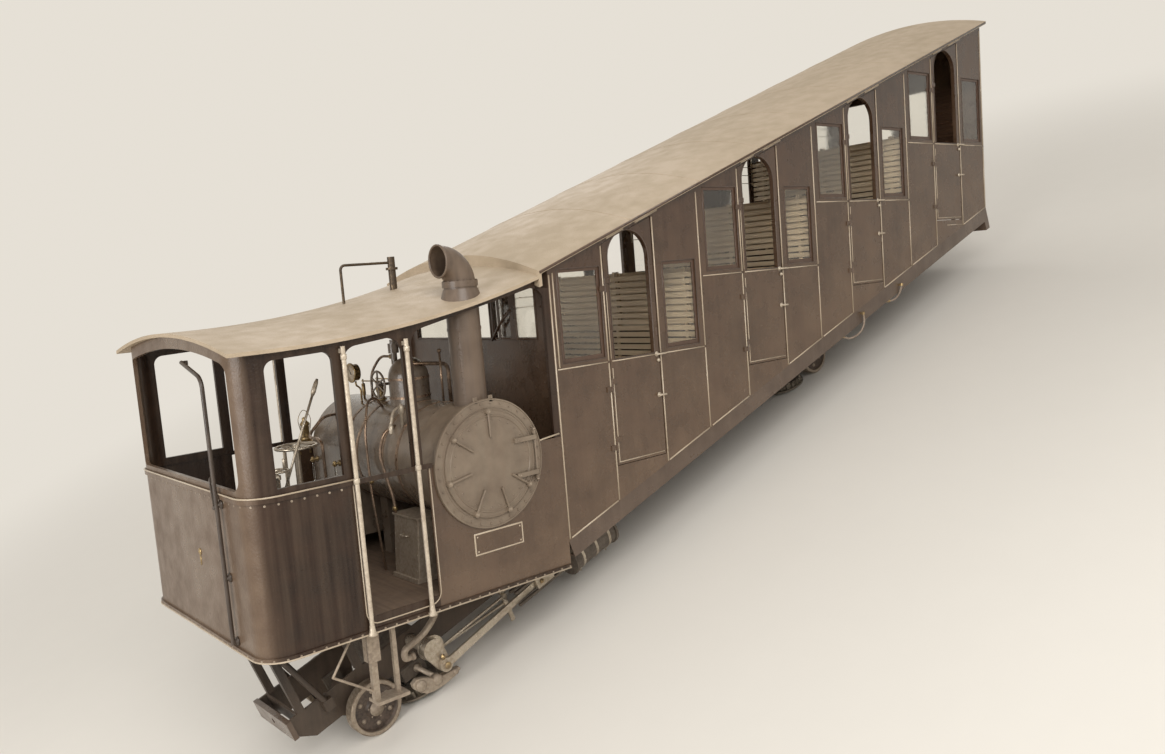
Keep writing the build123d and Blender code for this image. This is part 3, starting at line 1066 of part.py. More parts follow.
def build_cab_supports():
    """Posts and braces that carry the cab's front from the main frame."""
    front = LOWER_AXLE_X - FRAME_FRONT_OVERHANG
    below_floor = lean(block(-4000, -SEAT, -3000, 3000, -4000, CAB_FLOOR_TOP - CAB_FLOOR_THICKNESS - SEAT))
    pieces = []
    for x in (front + 70, LOWER_AXLE_X + 40, LOWER_AXLE_X + 900):
        post = block(x, x + 60, -PLATE_INNER - PLATE_THICKNESS, -PLATE_INNER + 30, PLATE_TOP + SEAT, 2500)
        pieces.append(post & below_floor)
    brace_y = -PLATE_INNER - 45
    top = (BODY * Pos(-CAB_LENGTH + BRACE_INSET, 0, CAB_FLOOR_TOP)).position
    foot = (front + BRACE_FOOT, brace_y, PLATE_TOP - 75)
    brace = bar(foot, (top.X, brace_y, top.Z), BRACE_RADIUS)
    pad = block(foot[0] - 40, foot[0] + 40, brace_y - 25, -PLATE_INNER - PLATE_THICKNESS - SEAT,
                PLATE_TOP - 120, PLATE_TOP - 30)
    pieces.append((brace + pad) & below_floor)
    keep("cab_supports", [piece for one in pieces for piece in both_sides(one)])


def build_cab_steps():
    """Hangers, tread and stay of the step below each cab doorway."""
    step = None
    below_floor = CAB_FLOOR_TOP - CAB_FLOOR_THICKNESS - SEAT
    for x0, x1, half, bottom in (STEP_BRACKET, STEP_HANGER, STEP_THIN_HANGER):
        hanger = block(x0, x1, -STEP_Y - half, -STEP_Y + half, bottom, below_floor)
        step = hanger if step is None else step + hanger
    x0, x1, half, bottom = STEP_TREAD
    step = step + block(x0, x1, -STEP_Y - half, -STEP_Y + half, bottom, bottom + STEP_TREAD_THICKNESS)
    knee_x, knee_z = STEP_STAY[1]
    stay = Pos(knee_x, -STEP_Y, knee_z) * Sphere(STEP_STAY_RADIUS)
    for (ax, az), (bx, bz) in zip(STEP_STAY, STEP_STAY[1:]):
        stay = stay + bar((ax, -STEP_Y, az), (bx, -STEP_Y, bz), STEP_STAY_RADIUS)
    step = step + (stay & block(-4000, 0, -2000, 0, -2000, below_floor))
    keep("cab_steps", [lean(piece) for piece in both_sides(step)])


def hose_points(route):
    """A hose's route in the chassis frame."""
    return [Vector(FOOT_X + x, -HALF_WIDTH - out, z) for x, out, z in route]


def hose(points):
    """Tube along a route of short runs joined by tangent arcs as large as they allow."""
    radii = []
    for before, here, after in zip(points, points[1:], points[2:]):
        turn = radians((here - before).get_angle(after - here))
        shorter = min((here - before).length, (after - here).length)
        radii.append(0.45 * shorter / tan(turn / 2))
    path = FilletPolyline(*points, radius=radii)
    print("hose radii", [round(radius) for radius in radii], "length", round(path.length))
    return sweep(Plane(path @ 0, z_dir=path % 0) * Circle(HOSE_DIAMETER / 2), path=path)


def build_small_fittings():
    """Hoses with their glands, whistle pipe on the roof, brake column and levers."""
    glands = []
    for name, route in (("hose_long", HOSE_LONG_ROUTE), ("hose_short", HOSE_SHORT_ROUTE)):
        points = hose_points(route)
        keep(name, hose(points))
        head_axis = Plane(points[0], z_dir=points[0] - points[1])
        head = Solid.make_cylinder(HOSE_GLAND_RADIUS, HOSE_GLAND_LENGTH, head_axis)
        x, y, z = points[0].X, points[0].Y, points[0].Z
        head = head + block(x - 14, x + 14, y, -HALF_WIDTH - SEAT, z + 8, z + HOSE_GLAND_LENGTH - 4)
        tail_axis = Plane(points[-1], z_dir=points[-1] - points[-2])
        tail = Solid.make_cylinder(HOSE_GLAND_RADIUS, HOSE_GLAND_LENGTH * 3, tail_axis)
        under_sill = block(points[-1].X - 200, points[-1].X + 200, -2000, 0, 0, SILL_TOP - SILL_DEPTH - SEAT)
        glands += [head, tail & under_sill]
    keep("hose_glands", glands)

    path = FilletPolyline((PIPE_FOOT_X, PIPE_Y, 1700), (PIPE_FOOT_X, PIPE_Y, PIPE_TOP),
                          (PIPE_END_X, PIPE_Y, PIPE_TOP), radius=PIPE_BEND)
    pipe = sweep(Plane(path @ 0, z_dir=path % 0) * Circle(PIPE_RADIUS), path=path)
    pipe = pipe - cab_roof_sheet(-900, CAB_ROOF_THICKNESS + SEAT, 100)
    valve = rod_z(PIPE_END_X + 30, PIPE_Y, 1900, PIPE_TOP + 46, 30)
    valve = valve + rod_z(PIPE_END_X + 30, PIPE_Y, PIPE_TOP - 60, PIPE_TOP - 40, 48)
    valve = valve - cab_roof_sheet(-900, CAB_ROOF_THICKNESS + SEAT, 100)
    keep("whistle_pipe", lean(pipe + valve))

    column = rod_z(COLUMN_X, COLUMN_Y, CAB_FLOOR_TOP + SEAT, COLUMN_TOP, COLUMN_RADIUS)
    column = column + rod_z(COLUMN_X, COLUMN_Y, CAB_FLOOR_TOP + SEAT, CAB_FLOOR_TOP + 20, COLUMN_RADIUS * 2.6)
    wheel = Pos(COLUMN_X, COLUMN_Y, COLUMN_TOP + 10) * Torus(HANDWHEEL_RADIUS, HANDWHEEL_RIM)
    for turn in (0, 60, 120):
        spoke = Pos(COLUMN_X, COLUMN_Y, COLUMN_TOP + 10) * Rot(0, 0, turn) * Box(2 * HANDWHEEL_RADIUS, 14, 12)
        wheel = wheel + spoke
    hub = rod_z(COLUMN_X, COLUMN_Y, COLUMN_TOP - 10, COLUMN_TOP + 30, 30)
    keep("brake_column", lean(column + wheel + hub))
    levers = []
    for y, top in ((-250.0, 1180.0), (-120.0, 1120.0), (40.0, 1240.0)):
        foot = block(LEVER_QUADRANT_X - 60, LEVER_QUADRANT_X + 60, y - 20, y + 20, CAB_FLOOR_TOP + SEAT, CAB_FLOOR_TOP + 90)
        stick = bar((LEVER_QUADRANT_X, y, CAB_FLOOR_TOP + 60), (LEVER_QUADRANT_X + 140, y, top), 12)
        knob = Pos(LEVER_QUADRANT_X + 140, y, top) * Sphere(22)
        levers.append(foot + stick + knob)
    keep("control_levers", [lean(lever) for lever in levers])


build_chassis()
build_running_gear()
build_engine()
build_cab()
build_boiler()
build_passenger_body()
build_cab_supports()
build_cab_steps()
build_small_fittings()

os.makedirs("parts", exist_ok=True)
for node_name, node_shape in NODES.items():
    export_step(node_shape, os.path.join("parts", node_name + ".step"))
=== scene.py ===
"""Finishes, trims, hoses, floor, light and camera of a steam rack railcar.

The car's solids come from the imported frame. Body pieces are drawn upright in the body's own
frame, x level and uphill, y across, z plumb, from the foot of the front bulkhead on the sills,
and are then set on the leaning body. All lengths are in metres.
"""
from __future__ import annotations

import logging
import math
from collections.abc import Iterable
from dataclasses import dataclass
from enum import Enum

import bmesh
import bpy
from bpy.types import Material, Node, NodeTree
from mathutils import Matrix, Vector


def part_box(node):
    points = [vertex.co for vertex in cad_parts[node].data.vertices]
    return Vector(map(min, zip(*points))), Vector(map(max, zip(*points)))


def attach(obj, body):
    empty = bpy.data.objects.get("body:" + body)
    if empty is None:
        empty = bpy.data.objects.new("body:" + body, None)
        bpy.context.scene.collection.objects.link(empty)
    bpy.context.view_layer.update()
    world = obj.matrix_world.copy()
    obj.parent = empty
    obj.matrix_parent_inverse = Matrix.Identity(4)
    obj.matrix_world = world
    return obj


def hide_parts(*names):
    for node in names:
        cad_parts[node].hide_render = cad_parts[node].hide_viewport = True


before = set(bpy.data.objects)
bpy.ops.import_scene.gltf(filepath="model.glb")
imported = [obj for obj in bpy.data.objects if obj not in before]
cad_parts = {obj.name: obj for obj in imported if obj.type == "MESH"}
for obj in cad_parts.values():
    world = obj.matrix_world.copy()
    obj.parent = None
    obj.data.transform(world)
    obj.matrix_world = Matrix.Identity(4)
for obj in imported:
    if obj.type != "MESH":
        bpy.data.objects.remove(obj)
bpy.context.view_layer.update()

LOG = logging.getLogger("railcar")
LEAN = math.radians(19.8)
Point = tuple[float, float, float]
Flat = tuple[float, float]
Socket = bpy.types.NodeSocket
UP: Point = (0, 0, 1)
DOWN: Point = (0, 0, -1)
UPHILL: Point = (1, 0, 0)
DOWNHILL: Point = (-1, 0, 0)
FARWARD: Point = (0, 1, 0)
NEARWARD: Point = (0, -1, 0)


class Side(Enum):
    """Side of the car, as the sign of y."""

    NEAR = -1
    FAR = 1

    @property
    def label(self) -> str:
        """Lower-case word used in piece names."""
        return self.name.lower()


class Body(Enum):
    """Bodies that pieces ride on, apart from the eight doors."""

    CAR = "root"
    LOWER_WHEELS = "wheelset_lower"
    UPPER_WHEELS = "wheelset_upper"
    SMOKEBOX_DOOR = "smokebox_door"


# Shared effects


def add_node(tree: NodeTree, kind: str, settings: dict[str, object] | None = None, **sockets: object) -> Node:
    """Add a node to a tree.

    Args:
        tree: the tree that gets the node.
        kind: Blender's node type.
        settings: properties of the node itself.
        sockets: values or source sockets by input name, with underscores for spaces, or by index as in_0.

    Returns:
        The new node.
    """
    node = tree.nodes.new(kind)
    for key, value in (settings or {}).items():
        setattr(node, key, value)
    for key, value in sockets.items():
        index = int(key[3:]) if key.startswith("in_") else key.replace("_", " ")
        if isinstance(value, Socket):
            tree.links.new(value, node.inputs[index])
        else:
            node.inputs[index].default_value = value
    return node


class ShaderGroup:
    """A shader node group with named numbers in and one mask out, built once."""

    def __init__(self, name: str, inputs: dict[str, float]) -> None:
        """Start the group.

        Args:
            name: the group's name.
            inputs: name and default of each input.
        """
        self.tree = bpy.data.node_groups.new(name, "ShaderNodeTree")
        for label, default in inputs.items():
            socket = self.tree.interface.new_socket(label, in_out="INPUT", socket_type="NodeSocketFloat")
            socket.default_value = default
        self.tree.interface.new_socket("Mask", in_out="OUTPUT", socket_type="NodeSocketFloat")
        self.inputs = self.tree.nodes.new("NodeGroupInput").outputs
        self.exit = self.tree.nodes.new("NodeGroupOutput")

    def node(self, kind: str, settings: dict[str, object] | None = None, **sockets: object) -> Node:
        """Add a node to this group; see add_node."""
        return add_node(self.tree, kind, settings, **sockets)

    def place(self) -> Socket:
        """Return the socket of the object's own coordinates."""
        return self.node("ShaderNodeTexCoord").outputs["Object"]

    def upright(self) -> Node:
        """Return a node with X, Y and Z, turned upright with the leaning body."""
        turned = self.node("ShaderNodeVectorRotate", Vector=self.place(), Axis=(0.0, 1.0, 0.0), Angle=-LEAN)
        return self.node("ShaderNodeSeparateXYZ", Vector=turned.outputs["Vector"])

    def math(self, operation: str, first: object, second: object = 0.0, clamp: bool = False) -> Socket:
        """Add one sum.

        Args:
            operation: Blender's name for it.
            first: number or socket.
            second: number or socket.
            clamp: whether the result stays between 0 and 1.

        Returns:
            The result's socket.
        """
        settings = {"operation": operation, "use_clamp": clamp}
        return self.node("ShaderNodeMath", settings, in_0=first, in_1=second).outputs[0]

    def noise(self, place: Socket, size: str, **sockets: float) -> Socket:
        """Add a noise whose scale is the named input, and return its socket."""
        return self.node("ShaderNodeTexNoise", Vector=place, Scale=self.inputs[size],
                         **sockets).outputs["Fac"]

    def ramp(self, value: Socket, start: object, end: object, kind: str = "LINEAR") -> Socket:
        """Map a value to 0 at the start and 1 at the end.

        Args:
            value: the value's socket.
            start: number or socket.
            end: number or socket.
            kind: Blender's name for the way between them.

        Returns:
            The result's socket.
        """
        node = self.node("ShaderNodeMapRange", {"interpolation_type": kind}, Value=value, From_Min=start,
                         From_Max=end)
        return node.outputs["Result"]

    def contrast(self, value: Socket) -> Socket:
        """Stretch a value about zero by the Contrast input, lift it to the middle and return its socket."""
        return self.math("ADD", self.math("MULTIPLY", value, self.inputs["Contrast"]), 0.5, clamp=True)

    def finish(self, mask: Socket) -> NodeTree:
        """Link the group's output and return its tree."""
        self.tree.links.new(mask, self.exit.inputs["Mask"])
        return self.tree


def build_blotch_group() -> NodeTree:
    """Broad soft patches from two noises of different size.

    Returns:
        The group.
    """
    group = ShaderGroup("soft_blotches", {"Size": 1.0, "Fine Size": 8.0, "Contrast": 0.5})
    place = group.place()
    broad = group.noise(place, "Size", Detail=3.0)
    fine = group.noise(place, "Fine Size", Detail=4.0)
    return group.finish(group.contrast(group.math("ADD", group.math("ADD", broad, fine), -1.0)))


def build_dust_group() -> NodeTree:
    """Dust that settles on upward faces and thickens towards the track; on the body paint the same mask lays
    painted sheen on the lower panels.

    Returns:
        The group.
    """
    group = ShaderGroup("settled_dust_and_sheen", {"Low": 0.2, "High": 1.4, "Amount": 0.5, "Size": 5.0})
    place = group.place()
    height = group.node("ShaderNodeSeparateXYZ", Vector=place).outputs["Z"]
    facing = group.node("ShaderNodeSeparateXYZ", Vector=group.node("ShaderNodeNewGeometry").outputs["Normal"])
    where = group.math("MAXIMUM", group.ramp(height, group.inputs["High"], group.inputs["Low"]),
                       group.ramp(facing.outputs["Z"], 0.3, 1.0))
    patchy = group.math("MULTIPLY", where, group.noise(place, "Size", Detail=6.0))
    return group.finish(group.math("MULTIPLY", patchy, group.inputs["Amount"], clamp=True))


def build_scuff_group() -> NodeTree:
    """Small chips and rub marks.

    Returns:
        The group.
    """
    group = ShaderGroup("scuffs", {"Size": 40.0, "Amount": 0.3})
    cut = group.ramp(group.noise(group.place(), "Size", Detail=8.0, Roughness=0.7), 0.62, 0.74)
    return group.finish(group.math("MULTIPLY", cut, group.inputs["Amount"]))


def build_grain_group() -> NodeTree:
    """Wood grain that runs along y, across the car.

    Returns:
        The group.
    """
    group = ShaderGroup("wood_grain", {"Size": 26.0, "Stretch": 0.06})
    parts = group.node("ShaderNodeSeparateXYZ", Vector=group.place()).outputs
    slow = group.math("MULTIPLY", parts["Y"], group.inputs["Stretch"])
    drawn = group.node("ShaderNodeCombineXYZ", X=parts["X"], Y=slow, Z=parts["Z"])
    return group.finish(group.noise(drawn.outputs[0], "Size", Detail=6.0, Distortion=0.8))


def build_streak_group() -> NodeTree:
    """Faint upright streaks, as rain and wiping leave them on the leaning body.

    Returns:
        The group.
    """
    group = ShaderGroup("rain_streaks", {"Across": 24.0, "Along": 0.04, "Contrast": 2.0})
    parts = group.upright().outputs
    slow = group.math("MULTIPLY", parts["Z"], group.inputs["Along"])
    drawn = group.node("ShaderNodeCombineXYZ", X=parts["X"], Y=parts["Y"], Z=slow)
    noise = group.noise(drawn.outputs[0], "Across", Detail=5.0)
    return group.finish(group.contrast(group.math("ADD", noise, -0.5)))


def build_fade_group() -> NodeTree:
    """Change along the upright body, from one place along it to another.

    Returns:
        The group.
    """
    group = ShaderGroup("fade_along_body", {"Start": 0.0, "End": 1.0})
    along = group.upright().outputs["X"]
    return group.finish(group.ramp(along, group.inputs["Start"], group.inputs["End"], "SMOOTHSTEP"))


def build_tyre_group() -> NodeTree:
    """Mask of a wheel's tyre: everything beyond a radius from its axle.

    Returns:
        The group.
    """
    group = ShaderGroup("tyre_ring", {"Axle X": 0.0, "Axle Z": 0.215, "Radius": 0.18})
    place = group.node("ShaderNodeSeparateXYZ", Vector=group.place()).outputs
    squares = [group.math("POWER", group.math("SUBTRACT", place[axis], group.inputs[f"Axle {axis}"]),
                          2.0) for axis in "XZ"]
    reach = group.math("SQRT", group.math("ADD", *squares))
    return group.finish(group.ramp(group.math("SUBTRACT", reach, group.inputs["Radius"]), -0.001, 0.003))


EFFECTS: dict[str, NodeTree] = {
    "streaks": build_streak_group(),
    "fade": build_fade_group(),
    "tyre": build_tyre_group(),
    "blotches": build_blotch_group(),
    "dust_and_sheen": build_dust_group(),
    "scuffs": build_scuff_group(),
    "grain": build_grain_group(),
}


class MaterialMaker:
    """One material's node tree with its Principled shader."""

    def __init__(self, name: str) -> None:
        """Start an empty material with one shader.

        Args:
            name: the material's name.
        """
        self.material = bpy.data.materials.new(name)
        self.material.use_nodes = True
        self.tree = self.material.node_tree
        self.shader = self.tree.nodes["Principled BSDF"]

    def node(self, kind: str, settings: dict[str, object] | None = None, **sockets: object) -> Node:
        """Add a node to this material; see add_node."""
        return add_node(self.tree, kind, settings, **sockets)

    def effect(self, name: str, **values: float) -> Socket:
        """Place a shared effect.

        Args:
            name: key of the effect in EFFECTS.
            values: its input values.

        Returns:
            The effect's mask socket.
        """
        return self.node("ShaderNodeGroup", {"node_tree": EFFECTS[name]}, **values).outputs["Mask"]

    def mix(self, mask: Socket, first: object, second: object) -> Socket:
        """Mix two colours by a mask.

        Args:
            mask: factor.
            first: colour or socket where the mask is 0.
            second: colour or socket where the mask is 1.

        Returns:
            The mixed colour's socket.
        """
        low, high = (value if isinstance(value, Socket) else (*value, 1.0) for value in (first, second))
        return self.node("ShaderNodeMix", {"data_type": "RGBA"}, in_0=mask, in_6=low, in_7=high).outputs[2]

    def spread(self, mask: Socket, low: float, high: float) -> Socket:
        """Map a mask from 0..1 to low..high and return its socket."""
        return self.node("ShaderNodeMapRange", Value=mask, To_Min=low, To_Max=high).outputs["Result"]

    def bump(self, height: Socket, strength: float, distance: float) -> None:
        """Feed a height to the shader's normal.

        Args:
            height: the height's socket.
            strength: strength of the effect.
            distance: depth of the relief, in metres.
        """
        relief = self.node("ShaderNodeBump", Height=height, Strength=strength, Distance=distance)
        self.tree.links.new(relief.outputs["Normal"], self.shader.inputs["Normal"])

    def feed(self, name: str, value: object) -> None:
        """Set or link one of the shader's inputs.

        Args:
            name: the input's name.
            value: number, colour or source socket.
        """
        if isinstance(value, Socket):
            self.tree.links.new(value, self.shader.inputs[name])
        elif isinstance(value, tuple):
            self.shader.inputs[name].default_value = (*value, 1.0)
        else:
            self.shader.inputs[name].default_value = value

    def blend(self, share: Socket, other: Socket) -> None:
        """Let another shader take a share of the surface.

        Args:
            share: the other shader's share.
            other: the other shader's socket.
        """
        choice = self.node("ShaderNodeMixShader", Fac=share, in_1=self.shader.outputs["BSDF"], in_2=other)
        self.tree.links.new(choice.outputs[0], self.tree.nodes["Material Output"].inputs["Surface"])


@dataclass(frozen=True)
class Paint:
    """Brushed oil paint with dust, streaks and small chips; the dust colour also serves as painted sheen low
    on the body, and a shaded stretch, where one is given, is a darker copy of the paint as painted shade.
    """

    name: str
    slot: str
    colour: Point
    patch: Point
    # dust colour and mask settings; on the body paint they lay painted sheen, lighter low on the panels, as
    # well as dust
    dust_and_sheen: Point = (0.22, 0.155, 0.105)
    dust_and_sheen_amount: float = 0.35
    chip: Point = (0.2, 0.15, 0.11)
    chip_amount: float = 0.25
    rough_low: float = 0.22
    rough_high: float = 0.48
    coat: float = 0.35
    wave: float = 0.004
    wave_size: float = 2.2
    dust_and_sheen_high: float = 1.7
    dust_and_sheen_size: float = 4.5
    streak_amount: float = 0.12
    # painted shade: a darker copy of the paint, laid along the body beyond a given place, stands for a side
    # in shade
    shaded_stretch: Point | None = None
    shaded_stretch_patch: float = 1.9
    shaded_stretch_from: float = 0.0
    shaded_stretch_to: float = 0.0
    gloss: float = 0.5

    def build(self) -> Material:
        """Build the material.

        Returns:
            The new material.
        """
        maker = MaterialMaker(self.name)
        patches = maker.effect("blotches", Size=0.9, Fine_Size=7.0, Contrast=2.2)
        base = maker.mix(patches, self.colour, self.patch)
        # painted light: beyond a place along the body the paint turns to its darker shaded copy
        if self.shaded_stretch is not None:
            fade = maker.effect("fade", Start=self.shaded_stretch_from, End=self.shaded_stretch_to)
            shade = tuple(value * self.shaded_stretch_patch for value in self.shaded_stretch)
            base = maker.mix(fade, base, maker.mix(patches, self.shaded_stretch, shade))
        streaks = maker.effect("streaks", Across=24.0, Along=0.04, Contrast=2.6)
        base = maker.mix(maker.spread(streaks, 0.0, self.streak_amount), base, self.dust_and_sheen)
        chips = maker.effect("scuffs", Size=46.0, Amount=self.chip_amount)
        base = maker.mix(chips, base, self.chip)
        # dust, and on the body paint painted sheen: lighter low down and on upward faces
        dust_and_sheen_mask = maker.effect("dust_and_sheen", Low=0.2, High=self.dust_and_sheen_high, Amount=self.dust_and_sheen_amount,
                             Size=self.dust_and_sheen_size)
        base = maker.mix(dust_and_sheen_mask, base, self.dust_and_sheen)
        maker.feed("Base Color", base)
        maker.feed("Roughness", maker.spread(patches, self.rough_low, self.rough_high))
        maker.feed("Specular IOR Level", self.gloss)
        maker.feed("Coat Weight", self.coat)
        maker.feed("Coat Roughness", 0.12)
        waves = maker.effect("blotches", Size=self.wave_size, Fine_Size=60.0, Contrast=1.2)
        maker.bump(waves, 0.55, self.wave)
        return maker.material


@dataclass(frozen=True)
class Metal:
    """Bare or oily metal with dark streaks and rust."""

    name: str
    slot: str
    colour: Point
    stain: Point
    rough_low: float = 0.25
    rough_high: float = 0.6
    metallic: float = 0.85
    stain_contrast: float = 2.4
    relief: float = 0.0006

    def build(self) -> Material:
        """Build the material.

        Returns:
            The new material.
        """
        maker = MaterialMaker(self.name)
        patches = maker.effect("blotches", Size=6.0, Fine_Size=42.0, Contrast=self.stain_contrast)
        base = maker.mix(patches, self.colour, self.stain)
        dust_and_sheen_mask = maker.effect("dust_and_sheen", Low=0.1, High=1.2, Amount=0.4, Size=9.0)
        base = maker.mix(dust_and_sheen_mask, base, (0.33, 0.28, 0.22))
        maker.feed("Base Color", base)
        maker.feed("Metallic", maker.spread(patches, self.metallic, self.metallic * 0.5))
        maker.feed("Roughness", maker.spread(patches, self.rough_low, self.rough_high))
        pits = maker.effect("blotches", Size=60.0, Fine_Size=240.0, Contrast=1.6)
        maker.bump(pits, 0.4, self.relief)
        return maker.material


@dataclass(frozen=True)
class WheelMetal:
    """Painted wheel with a worn tyre."""

    name: str
    slot: str
    axle_x: float
    axle_z: float = 0.215
    tyre_radius: float = 0.18
    paint: Point = (0.045, 0.03, 0.022)
    paint_dust: Point = (0.12, 0.085, 0.062)
    tyre: Point = (0.4, 0.33, 0.25)
    tyre_stain: Point = (0.2, 0.15, 0.105)

    def build(self) -> Material:
        """Build the material.

        Returns:
            The new material.
        """
        maker = MaterialMaker(self.name)
        tyre = maker.effect("tyre", Axle_X=self.axle_x, Axle_Z=self.axle_z, Radius=self.tyre_radius)
        patches = maker.effect("blotches", Size=9.0, Fine_Size=48.0, Contrast=2.4)
        painted = maker.mix(patches, self.paint, self.paint_dust)
        worn = maker.mix(patches, self.tyre, self.tyre_stain)
        maker.feed("Base Color", maker.mix(tyre, painted, worn))
        maker.feed("Metallic", maker.spread(tyre, 0.0, 0.7))
        maker.feed("Roughness", maker.spread(patches, 0.35, 0.62))
        maker.bump(maker.effect("blotches", Size=60.0, Fine_Size=240.0, Contrast=1.6), 0.4, 0.0008)
        return maker.material


@dataclass(frozen=True)
class Wood:
    """Varnished or worn wood with its grain."""

    name: str
    slot: str
    colour: Point
    dark: Point
    rough_low: float = 0.3
    rough_high: float = 0.55
    coat: float = 0.25

    def build(self) -> Material:
        """Build the material.

        Returns:
            The new material.
        """
        maker = MaterialMaker(self.name)
        grain = maker.effect("grain", Size=30.0, Stretch=0.05)
        patches = maker.effect("blotches", Size=1.6, Fine_Size=12.0, Contrast=1.6)
        base = maker.mix(maker.spread(grain, -0.3, 1.3), self.colour, self.dark)
        base = maker.mix(maker.spread(patches, 0.0, 0.4), base, self.dark)
        maker.feed("Base Color", base)
        maker.feed("Roughness", maker.spread(patches, self.rough_low, self.rough_high))
        maker.feed("Coat Weight", self.coat)
        maker.bump(grain, 0.3, 0.0008)
        return maker.material


@dataclass(frozen=True)
class Rubber:
    """Canvas-wrapped rubber hose."""

    name: str
    slot: str
    colour: Point
    worn: Point

    def build(self) -> Material:
        """Build the material.

        Returns:
            The new material.
        """
        maker = MaterialMaker(self.name)
        patches = maker.effect("blotches", Size=14.0, Fine_Size=90.0, Contrast=2.0)
        maker.feed("Base Color", maker.mix(patches, self.colour, self.worn))
        maker.feed("Roughness", maker.spread(patches, 0.55, 0.8))
        weave = maker.effect("blotches", Size=180.0, Fine_Size=420.0, Contrast=1.4)
        maker.bump(weave, 0.5, 0.0007)
        return maker.material


@dataclass(frozen=True)
class WindowGlass:
    """Old drawn glass: clear, slightly wavy and a little dusty."""

    name: str
    slot: str

    def build(self) -> Material:
        """Build the material.

        Returns:
            The new material.
        """
        maker = MaterialMaker(self.name)
        maker.feed("Base Color", (0.93, 0.92, 0.88))
        maker.feed("Transmission Weight", 1.0)
        maker.feed("IOR", 1.48)
        film = maker.effect("blotches", Size=3.0, Fine_Size=26.0, Contrast=1.8)
        maker.feed("Roughness", maker.spread(film, 0.0, 0.09))
        waves = maker.effect("blotches", Size=4.0, Fine_Size=9.0, Contrast=1.0)
        maker.bump(waves, 0.25, 0.003)
        clear = maker.node("ShaderNodeBsdfTransparent", Color=(0.85, 0.84, 0.8, 1.0))
        maker.blend(maker.node("ShaderNodeLightPath").outputs["Is Shadow Ray"], clear.outputs["BSDF"])
        return maker.material


